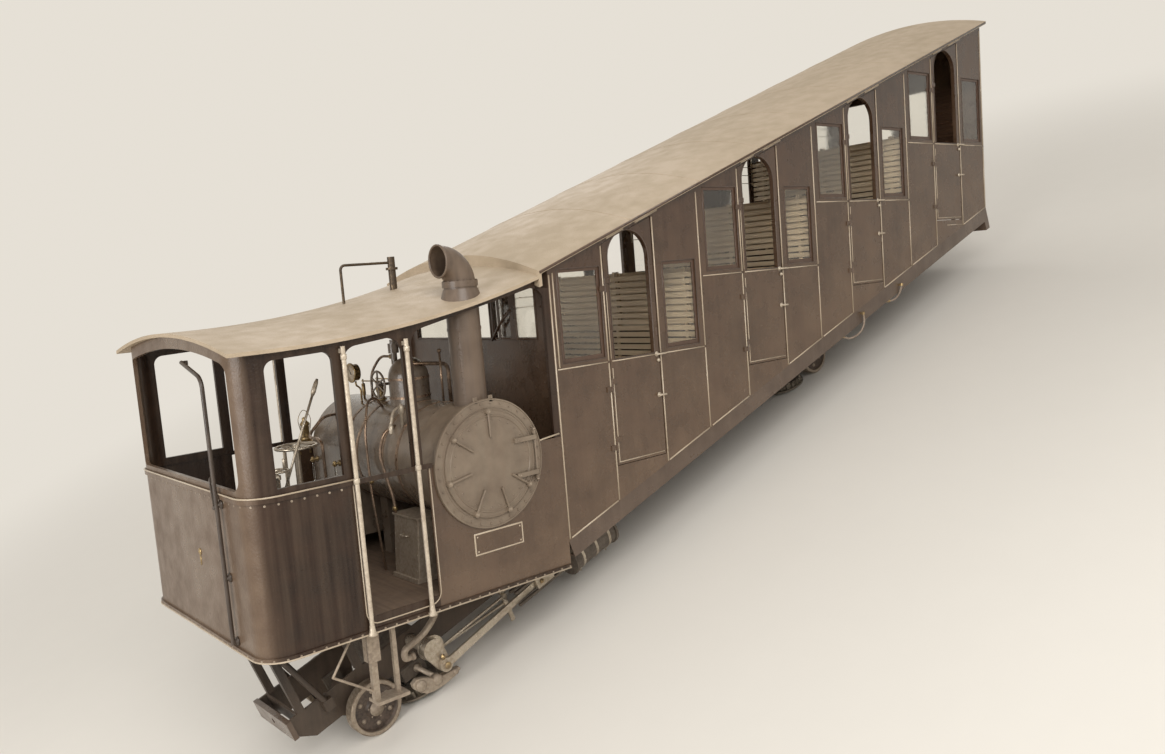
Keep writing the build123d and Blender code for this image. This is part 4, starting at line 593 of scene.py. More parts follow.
class Finishes:
    """Every finish of the car, built once and looked up by name."""

    def __init__(self, axles: list[float]) -> None:
        """Build all materials.

        Args:
            axles: x of the lower and the upper axle.
        """
        recipes = (
            # painted sheen: the heavy dust colour lightens the body's lower panels as a reflection would,
            # over some real dust
            Paint("body_brown_paint", "body_paint", (0.034, 0.015, 0.007), (0.066, 0.034, 0.019),
                  chip_amount=0.08, rough_low=0.16, rough_high=0.4, coat=0.25, dust_and_sheen=(0.2, 0.13, 0.079),
                  dust_and_sheen_amount=1.05, dust_and_sheen_high=2.6, dust_and_sheen_size=2.6),
            # painted sheen and shade: the light base colour lights the cab's front face, and from just behind
            # the front the darker shaded stretch shades its sides
            Paint("cab_brown_paint", "body_paint", (0.165, 0.11, 0.071), (0.11, 0.068, 0.042),
                  chip_amount=0.15, chip=(0.24, 0.18, 0.13), rough_low=0.26, rough_high=0.46, coat=0.16,
                  streak_amount=0.16, dust_and_sheen_amount=0.12, shaded_stretch=(0.016, 0.007, 0.0035),
                  shaded_stretch_from=-5.48, shaded_stretch_to=-5.395, gloss=0.28),
            Paint("sill_brown_paint", "sill_paint", (0.075, 0.045, 0.03), (0.045, 0.025, 0.016),
                  dust_and_sheen_amount=0.6),
            Paint("roof_cream_paint", "roof_paint", (0.49, 0.385, 0.27), (0.42, 0.33, 0.225), rough_low=0.6,
                  rough_high=0.8, coat=0.0, dust_and_sheen_amount=0.0, chip_amount=0.05, chip=(0.42, 0.36, 0.28),
                  wave=0.006, streak_amount=0.0),
            Paint("lining_cream_paint", "roof_paint", (0.55, 0.45, 0.33), (0.42, 0.33, 0.23), dust_and_sheen_amount=0.1,
                  chip_amount=0.4, chip=(0.16, 0.09, 0.06), rough_low=0.3, rough_high=0.5, wave=0.0005,
                  streak_amount=0.0),
            # painted shade: black frame paint made darker still for the underframe in shadow
            Paint("frame_black_paint", "frame_paint", (0.018, 0.011, 0.007), (0.04, 0.027, 0.019),
                  rough_low=0.45, rough_high=0.7, coat=0.05, dust_and_sheen_amount=0.5, dust_and_sheen_high=1.0),
            Paint("rail_black_paint", "frame_paint", (0.022, 0.014, 0.01), (0.06, 0.043, 0.031),
                  rough_low=0.3, rough_high=0.5, coat=0.2, dust_and_sheen_amount=0.1, chip_amount=0.5,
                  chip=(0.3, 0.24, 0.18), wave=0.0008),
            Paint("smokebox_grey_paint", "smokebox_paint", (0.23, 0.178, 0.126), (0.15, 0.11, 0.076),
                  rough_low=0.38, rough_high=0.58, coat=0.15, dust_and_sheen_amount=0.15, chip=(0.1, 0.07, 0.05),
                  wave=0.002, streak_amount=0.3),
            Paint("boiler_cladding_paint", "boiler_cladding", (0.115, 0.083, 0.058), (0.23, 0.178, 0.13),
                  rough_low=0.2, rough_high=0.4, coat=0.3, dust_and_sheen_amount=0.2),
            Paint("chimney_soot_paint", "chimney_paint", (0.082, 0.054, 0.036), (0.14, 0.098, 0.068),
                  rough_low=0.36, rough_high=0.6, coat=0.1, chip_amount=0.4, chip=(0.05, 0.035, 0.025),
                  wave=0.002, streak_amount=0.35),
            WheelMetal("lower_wheel_metal", "wheel_steel", axles[0]),
            WheelMetal("upper_wheel_metal", "wheel_steel", axles[1]),
            Metal("rod_steel", "rod_steel", (0.6, 0.53, 0.43), (0.36, 0.29, 0.21), rough_low=0.24,
                  rough_high=0.48),
            # painted shade: dark iron castings made darker still for the parts under the car
            Metal("castings", "casting", (0.11, 0.085, 0.064), (0.05, 0.036, 0.027), metallic=0.3,
                  rough_low=0.5, rough_high=0.8, relief=0.0015),
            Metal("pale_castings", "rod_steel", (0.4, 0.325, 0.245), (0.25, 0.19, 0.138), metallic=0.4,
                  rough_low=0.42, rough_high=0.65, relief=0.0008),
            Metal("pinion_steel", "pinion_steel", (0.26, 0.23, 0.18), (0.09, 0.068, 0.05), metallic=0.8),
            Metal("rail_steel", "rail_steel", (0.64, 0.55, 0.43), (0.44, 0.36, 0.27), metallic=0.4,
                  rough_low=0.3),
            Metal("brass_fittings", "brass", (0.5, 0.36, 0.17), (0.22, 0.15, 0.075), metallic=0.95),
            Metal("tarnished_brass", "brass", (0.115, 0.082, 0.05), (0.055, 0.038, 0.025), metallic=0.8),
            Metal("copper_pipes", "brass", (0.42, 0.29, 0.2), (0.16, 0.11, 0.075), metallic=0.9),
            # painted sunlight: the benches' pale varnish is made near white as sunlight on the slats
            Wood("bench_varnish", "bench_wood", (0.8, 0.66, 0.48), (0.58, 0.44, 0.29)),
            Wood("floor_boards", "floor_wood", (0.22, 0.15, 0.1), (0.1, 0.065, 0.042), rough_low=0.6,
                 rough_high=0.85, coat=0.0),
            Wood("sash_wood", "bench_wood", (0.11, 0.058, 0.034), (0.055, 0.028, 0.016), rough_high=0.5),
            Rubber("hose_canvas", "hose_rubber", (0.33, 0.26, 0.2), (0.2, 0.15, 0.11)),
            WindowGlass("drawn_glass", "glass"),
        )
        self.slots = {recipe.name: recipe.slot for recipe in recipes}
        self.materials = {recipe.name: recipe.build() for recipe in recipes}

    def dress(self, piece: bpy.types.Object, finish: str) -> None:
        """Give an object one finish on its whole surface.

        Args:
            piece: the object.
            finish: name of the finish.
        """
        piece.data.materials.clear()
        piece.data.materials.append(self.materials[finish])


FINISHED_NODES: dict[str, str] = {
    "castings": "axle_boxes brake_gear_case cylinders drive_gear_case",
    "pale_castings": "cab_steps",
    "pinion_steel": "brake_pinion_far brake_pinion_near drive_pinion_far drive_pinion_near",
    "rod_steel": "brake_column control_levers engine_crankshaft engine_rods",
    "rail_steel": "door_posts",
    "brass_fittings": "hose_glands",
    "tarnished_brass": "whistle_pipe",
    "lower_wheel_metal": "wheelset_lower",
    "upper_wheel_metal": "wheelset_upper",
    "frame_black_paint": "cab_supports cross_members frame_plates frame_stretchers",
    "rail_black_paint": "front_handrail",
    "sill_brown_paint": "end_beams side_sills",
    "cab_brown_paint": "cab_frame cab_front_sheet cab_rails cab_side_sheets",
    "roof_cream_paint": "cab_roof passenger_roof",
    "boiler_cladding_paint": "boiler",
    "smokebox_grey_paint": "smokebox smokebox_door",
    "chimney_soot_paint": "chimney chimney_elbow",
    "bench_varnish": "benches",
    "floor_boards": "cab_floor compartment_floors",
    "sash_wood": "partitions",
    "drawn_glass": "window_glass",
}


def add_object(name: str, data: bpy.types.ID, place: Matrix | None = None) -> bpy.types.Object:
    """Put a new object in the scene.

    Args:
        name: the object's name.
        data: its mesh, curve, lamp or camera.
        place: its place, if that isn't the origin.

    Returns:
        The new object.
    """
    item = bpy.data.objects.new(name, data)
    if place is not None:
        item.matrix_world = place
    bpy.context.scene.collection.objects.link(item)
    return item


# Meshes


def evenly(count: int, shift: float = 0.5) -> list[float]:
    """Return angles evenly round a circle, the first one turned by a share of a step."""
    return [2 * math.pi * (index + shift) / count for index in range(count)]


def arc(start: int, stop: int, step: int) -> list[float]:
    """Return a range of whole degrees as angles."""
    return [math.radians(turn) for turn in range(start, stop, step)]


def on_circle(centre: Flat, radius: float, angles: Iterable[float]) -> list[Flat]:
    """Return the places on a circle at some angles."""
    return [(centre[0] + radius * math.cos(angle), centre[1] + radius * math.sin(angle)) for angle in angles]


def around(axis: Point, count: int, shift: float = 0.0) -> list[Vector]:
    """Directions square to an axis, evenly round it.

    Args:
        axis: the axis.
        count: number of directions.
        shift: share of a step by which the first is turned.

    Returns:
        The directions.
    """
    along = Vector(axis).normalized()
    hint = Vector(UP) if abs(along.z) < 0.9 else Vector(UPHILL)
    side = along.cross(hint).normalized()
    up = along.cross(side)
    return [side * math.cos(angle) + up * math.sin(angle) for angle in evenly(count, shift)]


def ring_section(radius: float, reach: float) -> list[Flat]:
    """Round section of a ring, for Mesher.hoop.

    Args:
        radius: radius of the section.
        reach: radius of the ring.

    Returns:
        Distance along the axis and radius of eight corners.
    """
    angles = (math.pi * step / 4 for step in range(8))
    return [(math.cos(angle) * radius, reach + math.sin(angle) * radius) for angle in angles]


class Mesher:
    """Gathers shapes in one mesh, drawn in a frame of its own, and makes a piece of it."""

    def __init__(self, finishes: Finishes, place: Matrix | None = None) -> None:
        """Start an empty mesh.

        Args:
            finishes: all finishes.
            place: matrix from the drawing frame to the row frame.
        """
        self.mesh = bmesh.new()
        self.finishes = finishes
        self.place = place or Matrix.Identity(4)

    def _face(self, corners: list[bmesh.types.BMVert], smooth: bool) -> None:
        """Add one face."""
        self.mesh.faces.new(corners).smooth = smooth

    def _sleeve(self, rings: list[list[bmesh.types.BMVert]]) -> None:
        """Join rings of corners to a smooth wall with flat ends.

        Args:
            rings: corners of each ring, in the same order.
        """
        for first, second in zip(rings, rings[1:]):
            for turn in range(len(first)):
                after = (turn + 1) % len(first)
                self._face([first[turn], first[after], second[after], second[turn]], True)
        self._face(list(reversed(rings[0])), False)
        self._face(rings[-1], False)

    def block(self, low: Point, high: Point, bevel: float = 0.002) -> None:
        """Box between two corners, with its edges rounded.

        Args:
            low: lowest corner.
            high: highest corner.
            bevel: radius of the edges.
        """
        spans = [abs(b - a) for a, b in zip(low, high)]
        centre = Vector([a + b for a, b in zip(low, high)]) / 2
        made = bmesh.ops.create_cube(self.mesh, size=1.0)
        for vert in made["verts"]:
            vert.co = vert.co * Vector(spans) + centre
        edges = list({edge for vert in made["verts"] for edge in vert.link_edges})
        width = min(bevel, 0.4 * min(spans))
        if width > 0:
            bmesh.ops.bevel(self.mesh, geom=edges, offset=width, segments=2, affect="EDGES", profile=0.5)

    def tube(self, points: list[Point], radius: float | list[float], sides: int = 12) -> None:
        """Round tube along points, closed at both ends.

        Args:
            points: centre line.
            radius: one radius, or one for each point.
            sides: faces around the tube.
        """
        line = [Vector(point) for point in points]
        radii = radius if isinstance(radius, list) else [radius] * len(line)
        rings = []
        side = None
        for index, point in enumerate(line):
            before, after = line[max(index - 1, 0)], line[min(index + 1, len(line) - 1)]
            along = (after - before).normalized()
            side = side or around(along, 1)[0]
            side = (side - along * side.dot(along)).normalized()
            up = along.cross(side)
            spokes = [side * math.cos(angle) + up * math.sin(angle) for angle in evenly(sides, 0.0)]
            rings.append([self.mesh.verts.new(point + spoke * radii[index]) for spoke in spokes])
        self._sleeve(rings)

    def rod(self, start: Point, end: Point, radius: float, sides: int = 16) -> None:
        """Straight round bar with slightly rounded ends.

        Args:
            start: one end.
            end: the other end.
            radius: the bar's radius.
            sides: faces around the bar.
        """
        a, b = Vector(start), Vector(end)
        edge = min(radius * 0.25, (b - a).length * 0.2)
        along = (b - a).normalized() * edge
        self.tube([a, a + along, b - along, b], [radius - edge, radius, radius, radius - edge], sides)

    def turned(self, start: Point, axis: Point, profile: list[Flat], sides: int = 24) -> None:
        """Body of revolution.

        Args:
            start: foot of the axis.
            axis: direction of the axis.
            profile: distance along the axis and radius of each ring.
            sides: faces around the axis.
        """
        foot, along = Vector(start), Vector(axis).normalized()
        spokes = around(axis, sides)
        self._sleeve([[self.mesh.verts.new(foot + along * distance + away * max(radius, 0.0002))
                       for away in spokes] for distance, radius in profile])

    def bead(self, points: list[Point], width: float, height: float, outward: Point,
             closed: bool = False) -> None:
        """Half-round strip laid along points on a flat face.

        Args:
            points: line on the face.
            width: width of the strip.
            height: how far it stands proud.
            outward: the face's normal.
            closed: whether the line returns to its start.
        """
        normal = Vector(outward).normalized()
        line = [Vector(point) for point in points]
        count = len(line)
        steps = 6
        rings = []
        for index, point in enumerate(line):
            before = line[index - 1] if closed or index > 0 else None
            after = line[(index + 1) % count] if closed or index < count - 1 else None
            into = (point - before).normalized() if before is not None else (after - point).normalized()
            out = (after - point).normalized() if after is not None else into
            across_in = normal.cross(into)
            across = (across_in + normal.cross(out)).normalized()
            reach = 1.0 / max(across.dot(across_in), 0.4)
            angles = (math.pi * step / steps for step in range(steps + 1))
            offsets = [across * (math.cos(angle) * width / 2 * reach) + normal * (math.sin(angle) * height)
                       for angle in angles]
            rings.append([self.mesh.verts.new(point + offset) for offset in offsets])
        for first, second in list(zip(rings, rings[1:])) + ([(rings[-1], rings[0])] if closed else []):
            for step in range(steps):
                self._face([first[step], first[step + 1], second[step + 1], second[step]], True)
            self._face([first[steps], first[0], second[0], second[steps]], False)
        if not closed:
            self._face(rings[0], False)
            self._face(list(reversed(rings[-1])), False)

    def hoop(self, start: Point, axis: Point, profile: list[Flat], sides: int = 48) -> None:
        """Ring turned about an axis from a closed section.

        Args:
            start: a point of the axis.
            axis: direction of the axis.
            profile: distance along the axis and radius of each corner of the section.
            sides: faces around the axis.
        """
        foot, along = Vector(start), Vector(axis).normalized()
        rings = [[self.mesh.verts.new(foot + along * distance + away * radius) for distance,
                  radius in profile] for away in around(axis, sides)]
        for turn in range(sides):
            first, second = rings[turn], rings[(turn + 1) % sides]
            for index in range(len(profile)):
                after = (index + 1) % len(profile)
                self._face([first[index], first[after], second[after], second[index]], len(profile) > 4)

    def band(self, start: Point, axis: Point, radius: float, width: float, thickness: float,
             sides: int = 64) -> None:
        """Flat strap round a barrel, sunk a little into it.

        Args:
            start: the strap's middle on the barrel's axis.
            axis: direction of the axis.
            radius: the barrel's radius.
            width: width of the strap.
            thickness: how far it stands proud.
            sides: faces around the barrel.
        """
        low, high, half = radius - 0.001, radius + thickness, width / 2
        self.hoop(start, axis, [(-half, low), (-half, high), (half, high), (half, low)], sides)

    def prism(self, outline: list[Flat], y0: float, y1: float, bevel: float = 0.003) -> None:
        """Plate with an outline in x and z between two places across, its edges rounded.

        Args:
            outline: corners in x and z.
            y0: one face.
            y1: the other face.
            bevel: radius of the edges.
        """
        near, far = [[self.mesh.verts.new((x, y, z)) for x, z in outline] for y in (y0, y1)]
        faces = [self.mesh.faces.new(list(reversed(near))), self.mesh.faces.new(far)]
        for index in range(len(outline)):
            after = (index + 1) % len(outline)
            faces.append(self.mesh.faces.new([near[index], near[after], far[after], far[index]]))
        edges = list({edge for face in faces for edge in face.edges})
        bmesh.ops.bevel(self.mesh, geom=edges, offset=bevel, segments=2, affect="EDGES", profile=0.5)

    def nut(self, point: Point, outward: Point, radius: float, height: float) -> None:
        """Six-sided nut on its washer, with the end of its stud.

        Args:
            point: middle of its seat.
            outward: the seat's normal.
            radius: radius over the corners.
            height: height of the nut.
        """
        self.turned(point, outward, [(-0.001, radius * 1.25), (height * 0.18, radius * 1.25)], 18)
        self.turned(point, outward, [(0.0, radius), (height * 0.85, radius), (height, radius * 0.8)], 6)
        self.turned(point, outward, [(0.0, radius * 0.5), (height * 1.35, radius * 0.5)], 10)

    def nut_circle(self, centre: Point, axis: Point, reach: float, count: int, radius: float,
                   height: float) -> None:
        """Nuts evenly round a circle.

        Args:
            centre: middle of the circle, on the face.
            axis: the face's normal.
            reach: radius of the circle.
            count: number of nuts.
            radius: radius of a nut.
            height: height of a nut.
        """
        for away in around(axis, count, 0.5):
            self.nut(Vector(centre) + away * reach, axis, radius, height)

    def pipe(self, corners: list[Point], radius: float, bend: float = 0.03, sides: int = 12) -> None:
        """Pipe through corner points, with rounded bends.

        Args:
            corners: ends and corners of the pipe.
            radius: the pipe's radius.
            bend: how far before and after a corner its bend reaches.
            sides: faces around the pipe.
        """
        points = [Vector(corner) for corner in corners]
        line = [points[0]]
        for before, here, after in zip(points, points[1:], points[2:]):
            back, ahead = before - here, after - here
            reach = min(bend, back.length * 0.45, ahead.length * 0.45)
            start, end = here + back.normalized() * reach, here + ahead.normalized() * reach
            for share in (step / 6 for step in range(7)):
                line.append(start * (1 - share) ** 2 + here * (2 * share * (1 - share)) + end * share ** 2)
        self.tube([*line, points[-1]], radius, sides)

    def handwheel(self, centre: Point, axis: Point, radius: float, rim: float, spokes: int = 4) -> None:
        """Valve wheel with a round rim, spokes and a hub.

        Args:
            centre: middle of the wheel.
            axis: direction of its spindle.
            radius: radius to the middle of the rim.
            rim: radius of the rim's section.
            spokes: number of spokes.
        """
        self.hoop(centre, axis, ring_section(rim, radius), 32)
        self.turned(centre, axis,
                    [(-rim * 1.4, rim * 1.8), (rim * 1.4, rim * 1.8), (rim * 2.2, rim * 1.1)], 14)
        for away in around(axis, spokes):
            self.rod(Vector(centre) + away * rim, Vector(centre) + away * radius, rim * 0.6, 8)

    def rivet(self, point: Point, outward: Point, radius: float, height: float) -> None:
        """Domed rivet or bolt head on a face.

        Args:
            point: middle of its seat.
            outward: the face's normal.
            radius: radius of the head.
            height: height of the head.
        """
        profile = [(-0.001, radius), (height * 0.3, radius), (height * 0.75, radius * 0.72),
                   (height, radius * 0.2)]
        self.turned(point, outward, profile, 10)

    def piece(self, name: str, finish: str, body: str = Body.CAR.value) -> None:
        """Make the object, dress it and let it ride.

        Args:
            name: the piece's name.
            finish: name of its finish.
            body: body that it moves with.
        """
        bmesh.ops.transform(self.mesh, matrix=self.place, verts=self.mesh.verts)
        bmesh.ops.recalc_face_normals(self.mesh, faces=self.mesh.faces)
        data = bpy.data.meshes.new(name)
        self.mesh.to_mesh(data)
        self.mesh.free()
        item = add_object(name, data)
        self.finishes.dress(item, finish)
        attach(item, body)
        LOG.info("piece %s: %d faces, %s, rides on %s", name, len(data.polygons), finish, body)


# The car


@dataclass(frozen=True)
class CarPlan:
    """Places on the leaning body."""

    foot: float
    sill_top: float
    half_width: float
    lean: float = LEAN
    pitch: float = 1.75
    compartments: int = 4
    waist: float = 1.372
    eaves: float = 2.198
    door_start: float = 0.585
    door_width: float = 0.583
    floor_rise: float = 0.502
    door_springing: float = 0.846
    door_stile: float = 0.056

    @property
    def step(self) -> float:
        """Rise from one compartment to the next."""
        return self.pitch * math.tan(self.lean)

    @property
    def place(self) -> Matrix:
        """Matrix from the body frame to the row frame."""
        return Matrix.Translation((self.foot, 0, self.sill_top)) @ Matrix.Rotation(self.lean, 4, "Y")

    def slope(self, x: float, rise: float) -> float:
        """Height over the sill's slope at x, for a line that follows it at rise."""
        return x * math.tan(self.lean) + rise

    def waist_of(self, index: int) -> float:
        """Height of a compartment's waist."""
        return index * self.step + self.waist

    def door_span(self, index: int) -> Flat:
        """Start and end of a compartment's doorway."""
        start = index * self.pitch + self.door_start
        return start, start + self.door_width

    def point(self, x: float, y: float, z: float) -> Vector:
        """Row-frame place of a body-frame point."""
        return self.place @ Vector((x, y, z))


@dataclass
class Assembly:
    """Part of the car that is made of pieces, with the plan and the finishes that it needs."""

    plan: CarPlan
    finishes: Finishes

    def drawing(self) -> Mesher:
        """Return an empty mesh in the body frame."""
        return Mesher(self.finishes, self.plan.place)


@dataclass
class PassengerBody(Assembly):
    """Four stepped compartments: lining, sashes, bars, handles, shutters and roof trim."""

    line: Flat = (0.014, 0.007)
    waist_line: Flat = (0.011, 0.007)
    sash_width: float = 0.03
    sash_depth: float = 0.02
    sash_inset: float = 0.009
    pane_rise: float = 0.045
    pane_height: float = 0.75
    handle_drop: float = 0.345
    roof_half: float = 1.16
    roof_edge: float = 2.195
    roof_crest: float = 2.398
    roof_radius: float = 3.69
    shuttered: tuple[int, ...] = (2, 3)

    def build(self) -> None:
        """Make every trim of the passenger body."""
        for side in Side:
            self.lining(side)
            self.sashes(side)
            self.eaves_trim(side)
            for index in range(self.plan.compartments):
                self.door_trim(index, side)
                self.door_handle(index, side)
        for index in self.shuttered:
            self.shutter(index)
        self.guard_bars()
        self.roof_seams()
        self.bulkhead_bars()
        self.rear_fittings()
        self.rear_shutter()

    def face(self, side: Side) -> float:
        """y of a side wall's outer face."""
        return side.value * self.plan.half_width

    def lining(self, side: Side) -> None:
        """Cream strips on the pillars, along the waist and along the sill.

        Args:
            side: side of the car.
        """
        plan = self.plan
        mesh = self.drawing()
        y = self.face(side)
        out = (0, side.value, 0)
        top_gap = 0.075
        foot_gap = 0.012

        def upright(x: float, low: float, high: float) -> None:
            mesh.bead([(x, y, low), (x, y, high)], *self.line, out)

        for index in range(plan.compartments):
            x0 = index * plan.pitch
            waist = plan.waist_of(index)
            opening, closing = plan.door_span(index)
            hinge, latch = opening - 0.012, closing + 0.012
            last = x0 + plan.pitch if index < plan.compartments - 1 else x0 + plan.pitch - 0.02
            for x in (hinge, latch, last):
                upright(x, plan.slope(x, foot_gap), waist - 0.004)
                upright(x, waist + 0.018, plan.slope(x, plan.eaves - top_gap))
            start = x0 + 0.03
            for a, b in ((start, hinge - 0.014), (latch + 0.014, last - 0.014)):
                mesh.bead([(a, y, waist + 0.007), (b, y, waist + 0.007)], *self.waist_line, out)
                mesh.bead([(a, y, plan.slope(a, foot_gap)), (b, y, plan.slope(b, foot_gap))], *self.line, out)
        sill = index * plan.step + plan.floor_rise - 0.058
        mesh.bead([(hinge + 0.24, y, sill), (latch - 0.014, y, sill)], 0.008, 0.004, out)
        for x, low in ((0.012, plan.slope(0.012, foot_gap)), (0.05, plan.waist + 0.02)):
            upright(x, low, plan.slope(x, plan.eaves - top_gap))
        mesh.piece(f"body_lining_{side.label}", "lining_cream_paint")

    def eaves_trim(self, side: Side) -> None:
        """Pale dashes on the cant rail and a moulding along the roof's edge.

        Args:
            side: side of the car.
        """
        plan = self.plan
        out = (0, side.value, 0)
        dashes = self.drawing()
        y = self.face(side)
        rise = plan.eaves - 0.042
        for index in range(plan.compartments):
            x0 = index * plan.pitch
            for a, b in ((0.642, 0.839), (0.98, 1.25)):
                ends = [(x0 + a, y, plan.slope(x0 + a, rise)), (x0 + b, y, plan.slope(x0 + b, rise))]
                dashes.bead(ends, 0.02, 0.007, out)
        dashes.piece(f"eaves_dashes_{side.label}", "lining_cream_paint")
        edge = self.drawing()
        y = side.value * self.roof_half
        start, end = -0.12, plan.pitch * plan.compartments + 0.035
        edge.bead([(start, y, plan.slope(start, self.roof_edge)), (end, y, plan.slope(end, self.roof_edge))],
                  0.022, 0.006, out)
        edge.piece(f"roof_edge_moulding_{side.label}", "body_brown_paint")

    def guard_bars(self) -> None:
        """Thin level bars behind the upper half of the far panes, each in two end plates."""
        plan = self.plan
        mesh = self.drawing()
        y = plan.half_width - 0.046
        for index in range(plan.compartments):
            base = plan.waist_of(index) + self.pane_rise
            for a, b in self.pane_spans():
                left, right = index * plan.pitch + a - 0.012, index * plan.pitch + b + 0.012
                for rise in (0.4, 0.5, 0.6, 0.7):
                    mesh.rod((left, y, base + rise), (right, y, base + rise), 0.004, 8)
                for x in (left, right):
                    mesh.block((x - 0.01, y - 0.002, base + 0.37),
                               (x + 0.01, plan.half_width - 0.0395, base + 0.73))
        mesh.piece("far_guard_bars", "rod_steel")

    def roof_seams(self) -> None:
        """Narrow seams across the roof sheets, one over each partition and between them."""
        plan = self.plan
        mesh = self.drawing()
        half = self.roof_half - 0.01
        for index in range(1, 2 * plan.compartments):
            x = index * plan.pitch / 2
            line = []
            for step in range(25):
                y = half * (step / 12 - 1)
                drop = self.roof_radius - math.sqrt(self.roof_radius ** 2 - y * y)
                line.append((x, y, plan.slope(x, self.roof_crest) - drop))
            mesh.bead(line, 0.016, 0.003, (-math.sin(plan.lean), 0, math.cos(plan.lean)))
        mesh.piece("roof_seams", "roof_cream_paint")

    def bulkhead_bars(self) -> None:
        """Mullions and a brace across the near window of the front bulkhead."""
        mesh = self.drawing()
        mesh.block((-0.014, -0.66, 1.622), (0.0, -0.577, 2.078), 0.003)
        mesh.block((-0.012, -0.43, 1.622), (0.0, -0.4, 2.078), 0.003)
        mesh.pipe([(-0.014, -0.585, 1.867), (-0.018, -0.44, 1.75), (-0.014, -0.308, 1.62)], 0.012)
        for low, high in ((-0.912, -0.318), (-0.282, 0.282), (0.318, 0.912)):
            ring = [(0, low, 1.628), (0, high, 1.628), (0, high, 2.072), (0, low, 2.072)]
            mesh.bead(ring, 0.018, 0.008, DOWNHILL, closed=True)
        mesh.piece("bulkhead_window_bars", "body_brown_paint")

    def rear_fittings(self) -> None:
        """Handrails, lamp iron and lining on the uphill wall."""
        plan = self.plan
        x = plan.pitch * plan.compartments
        rise = (plan.compartments - 1) * plan.step
        rails = self.drawing()
        for y in (-0.98, 0.98):
            low, high = rise + 0.95, rise + 1.75
            rails.pipe([(x, y, low), (x + 0.055, y, low), (x + 0.055, y, high), (x, y, high)], 0.011, 0.03)
            for z in (low, high):
                rails.turned((x - 0.001, y, z), UPHILL, [(0, 0.026), (0.007, 0.026), (0.012, 0.016)], 16)
        rails.piece("rear_handrails", "rail_steel")
        iron = self.drawing()
        z = rise + 2.2
        iron.block((x - 0.001, -0.03, z - 0.07), (x + 0.008, 0.03, z + 0.03))
        iron.block((x + 0.006, -0.02, z - 0.052), (x + 0.062, 0.02, z - 0.042))
        iron.block((x + 0.052, -0.02, z - 0.046), (x + 0.06, 0.02, z + 0.05))
        for bolt in (-0.055, 0.015):
            iron.rivet((x + 0.008, 0.0, z + bolt), UPHILL, 0.008, 0.005)
        iron.piece("rear_lamp_iron", "castings")
        lining = self.drawing()
        waist = rise + plan.waist + 0.007
        lining.bead([(x, -1.04, waist), (x, 1.04, waist)], *self.waist_line, UPHILL)
        for y in (-1.04, 0.0, 1.04):
            lining.bead([(x, y, rise + 0.72), (x, y, waist)], *self.line, UPHILL)
        lining.bead([(x, -1.04, rise + 0.72), (x, 1.04, rise + 0.72)], *self.line, UPHILL)
        lining.piece("rear_lining", "lining_cream_paint")

    def rear_shutter(self) -> None:
        """Sliding wooden shutter leaf inside the near window of the uphill wall."""
        plan = self.plan
        mesh = self.drawing()
        x = plan.pitch * plan.compartments - 0.0405
        base = plan.waist_of(plan.compartments - 1)
        low, high, left, right, stile = base + 0.03, base + 0.81, -0.868, -0.4, 0.04
        mesh.block((x - 0.01, left, low), (x - 0.002, right, high), 0.001)
        for y0, y1 in ((left, left + stile), (right - stile, right)):
            mesh.block((x - 0.02, y0, low), (x, y1, high))
        for z in (low, (low + high) / 2 - 0.025, high - 0.05):
            mesh.block((x - 0.02, left + stile, z), (x, right - stile, z + 0.05))
        for panel in (low + 0.05, (low + high) / 2 + 0.025):
            for slat in range(7):
                z = panel + 0.012 + slat * 0.044
                mesh.block((x - 0.017, left + stile, z), (x - 0.002, right - stile, z + 0.012), 0.003)
        mesh.piece("rear_window_shutter", "sash_wood")

    def pane_spans(self) -> tuple[Flat, Flat]:
        """Start and end of both panes of a compartment, from its own start."""
        return (0.09, 0.545), (1.262, 1.684)

    def sashes(self, side: Side) -> None:
        """Wooden sash frames round the panes, with a thin bead outside.

        Args:
            side: side of the car.
        """
        plan = self.plan
        frames = self.drawing()
        beads = self.drawing()
        y = self.face(side)
        inner = y - side.value * self.sash_inset
        back = inner - side.value * self.sash_depth
        for index in range(plan.compartments):
            base = plan.waist_of(index) + self.pane_rise
            for a, b in self.pane_spans():
                left, right = index * plan.pitch + a, index * plan.pitch + b
                low, high = base, base + self.pane_height
                w = self.sash_width
                frames.block((left, inner, low), (left + w, back, high))
                frames.block((right - w, inner, low), (right, back, high))
                frames.block((left + w, inner, low), (right - w, back, low + w * 1.3))
                frames.block((left + w, inner, high - w), (right - w, back, high))
                ring = [(left, y, low), (right, y, low), (right, y, high), (left, y, high)]
                beads.bead(ring, 0.008, 0.004, (0, side.value, 0), closed=True)
        frames.piece(f"sash_frames_{side.label}", "sash_wood")
        beads.piece(f"sash_beads_{side.label}", "sill_brown_paint")

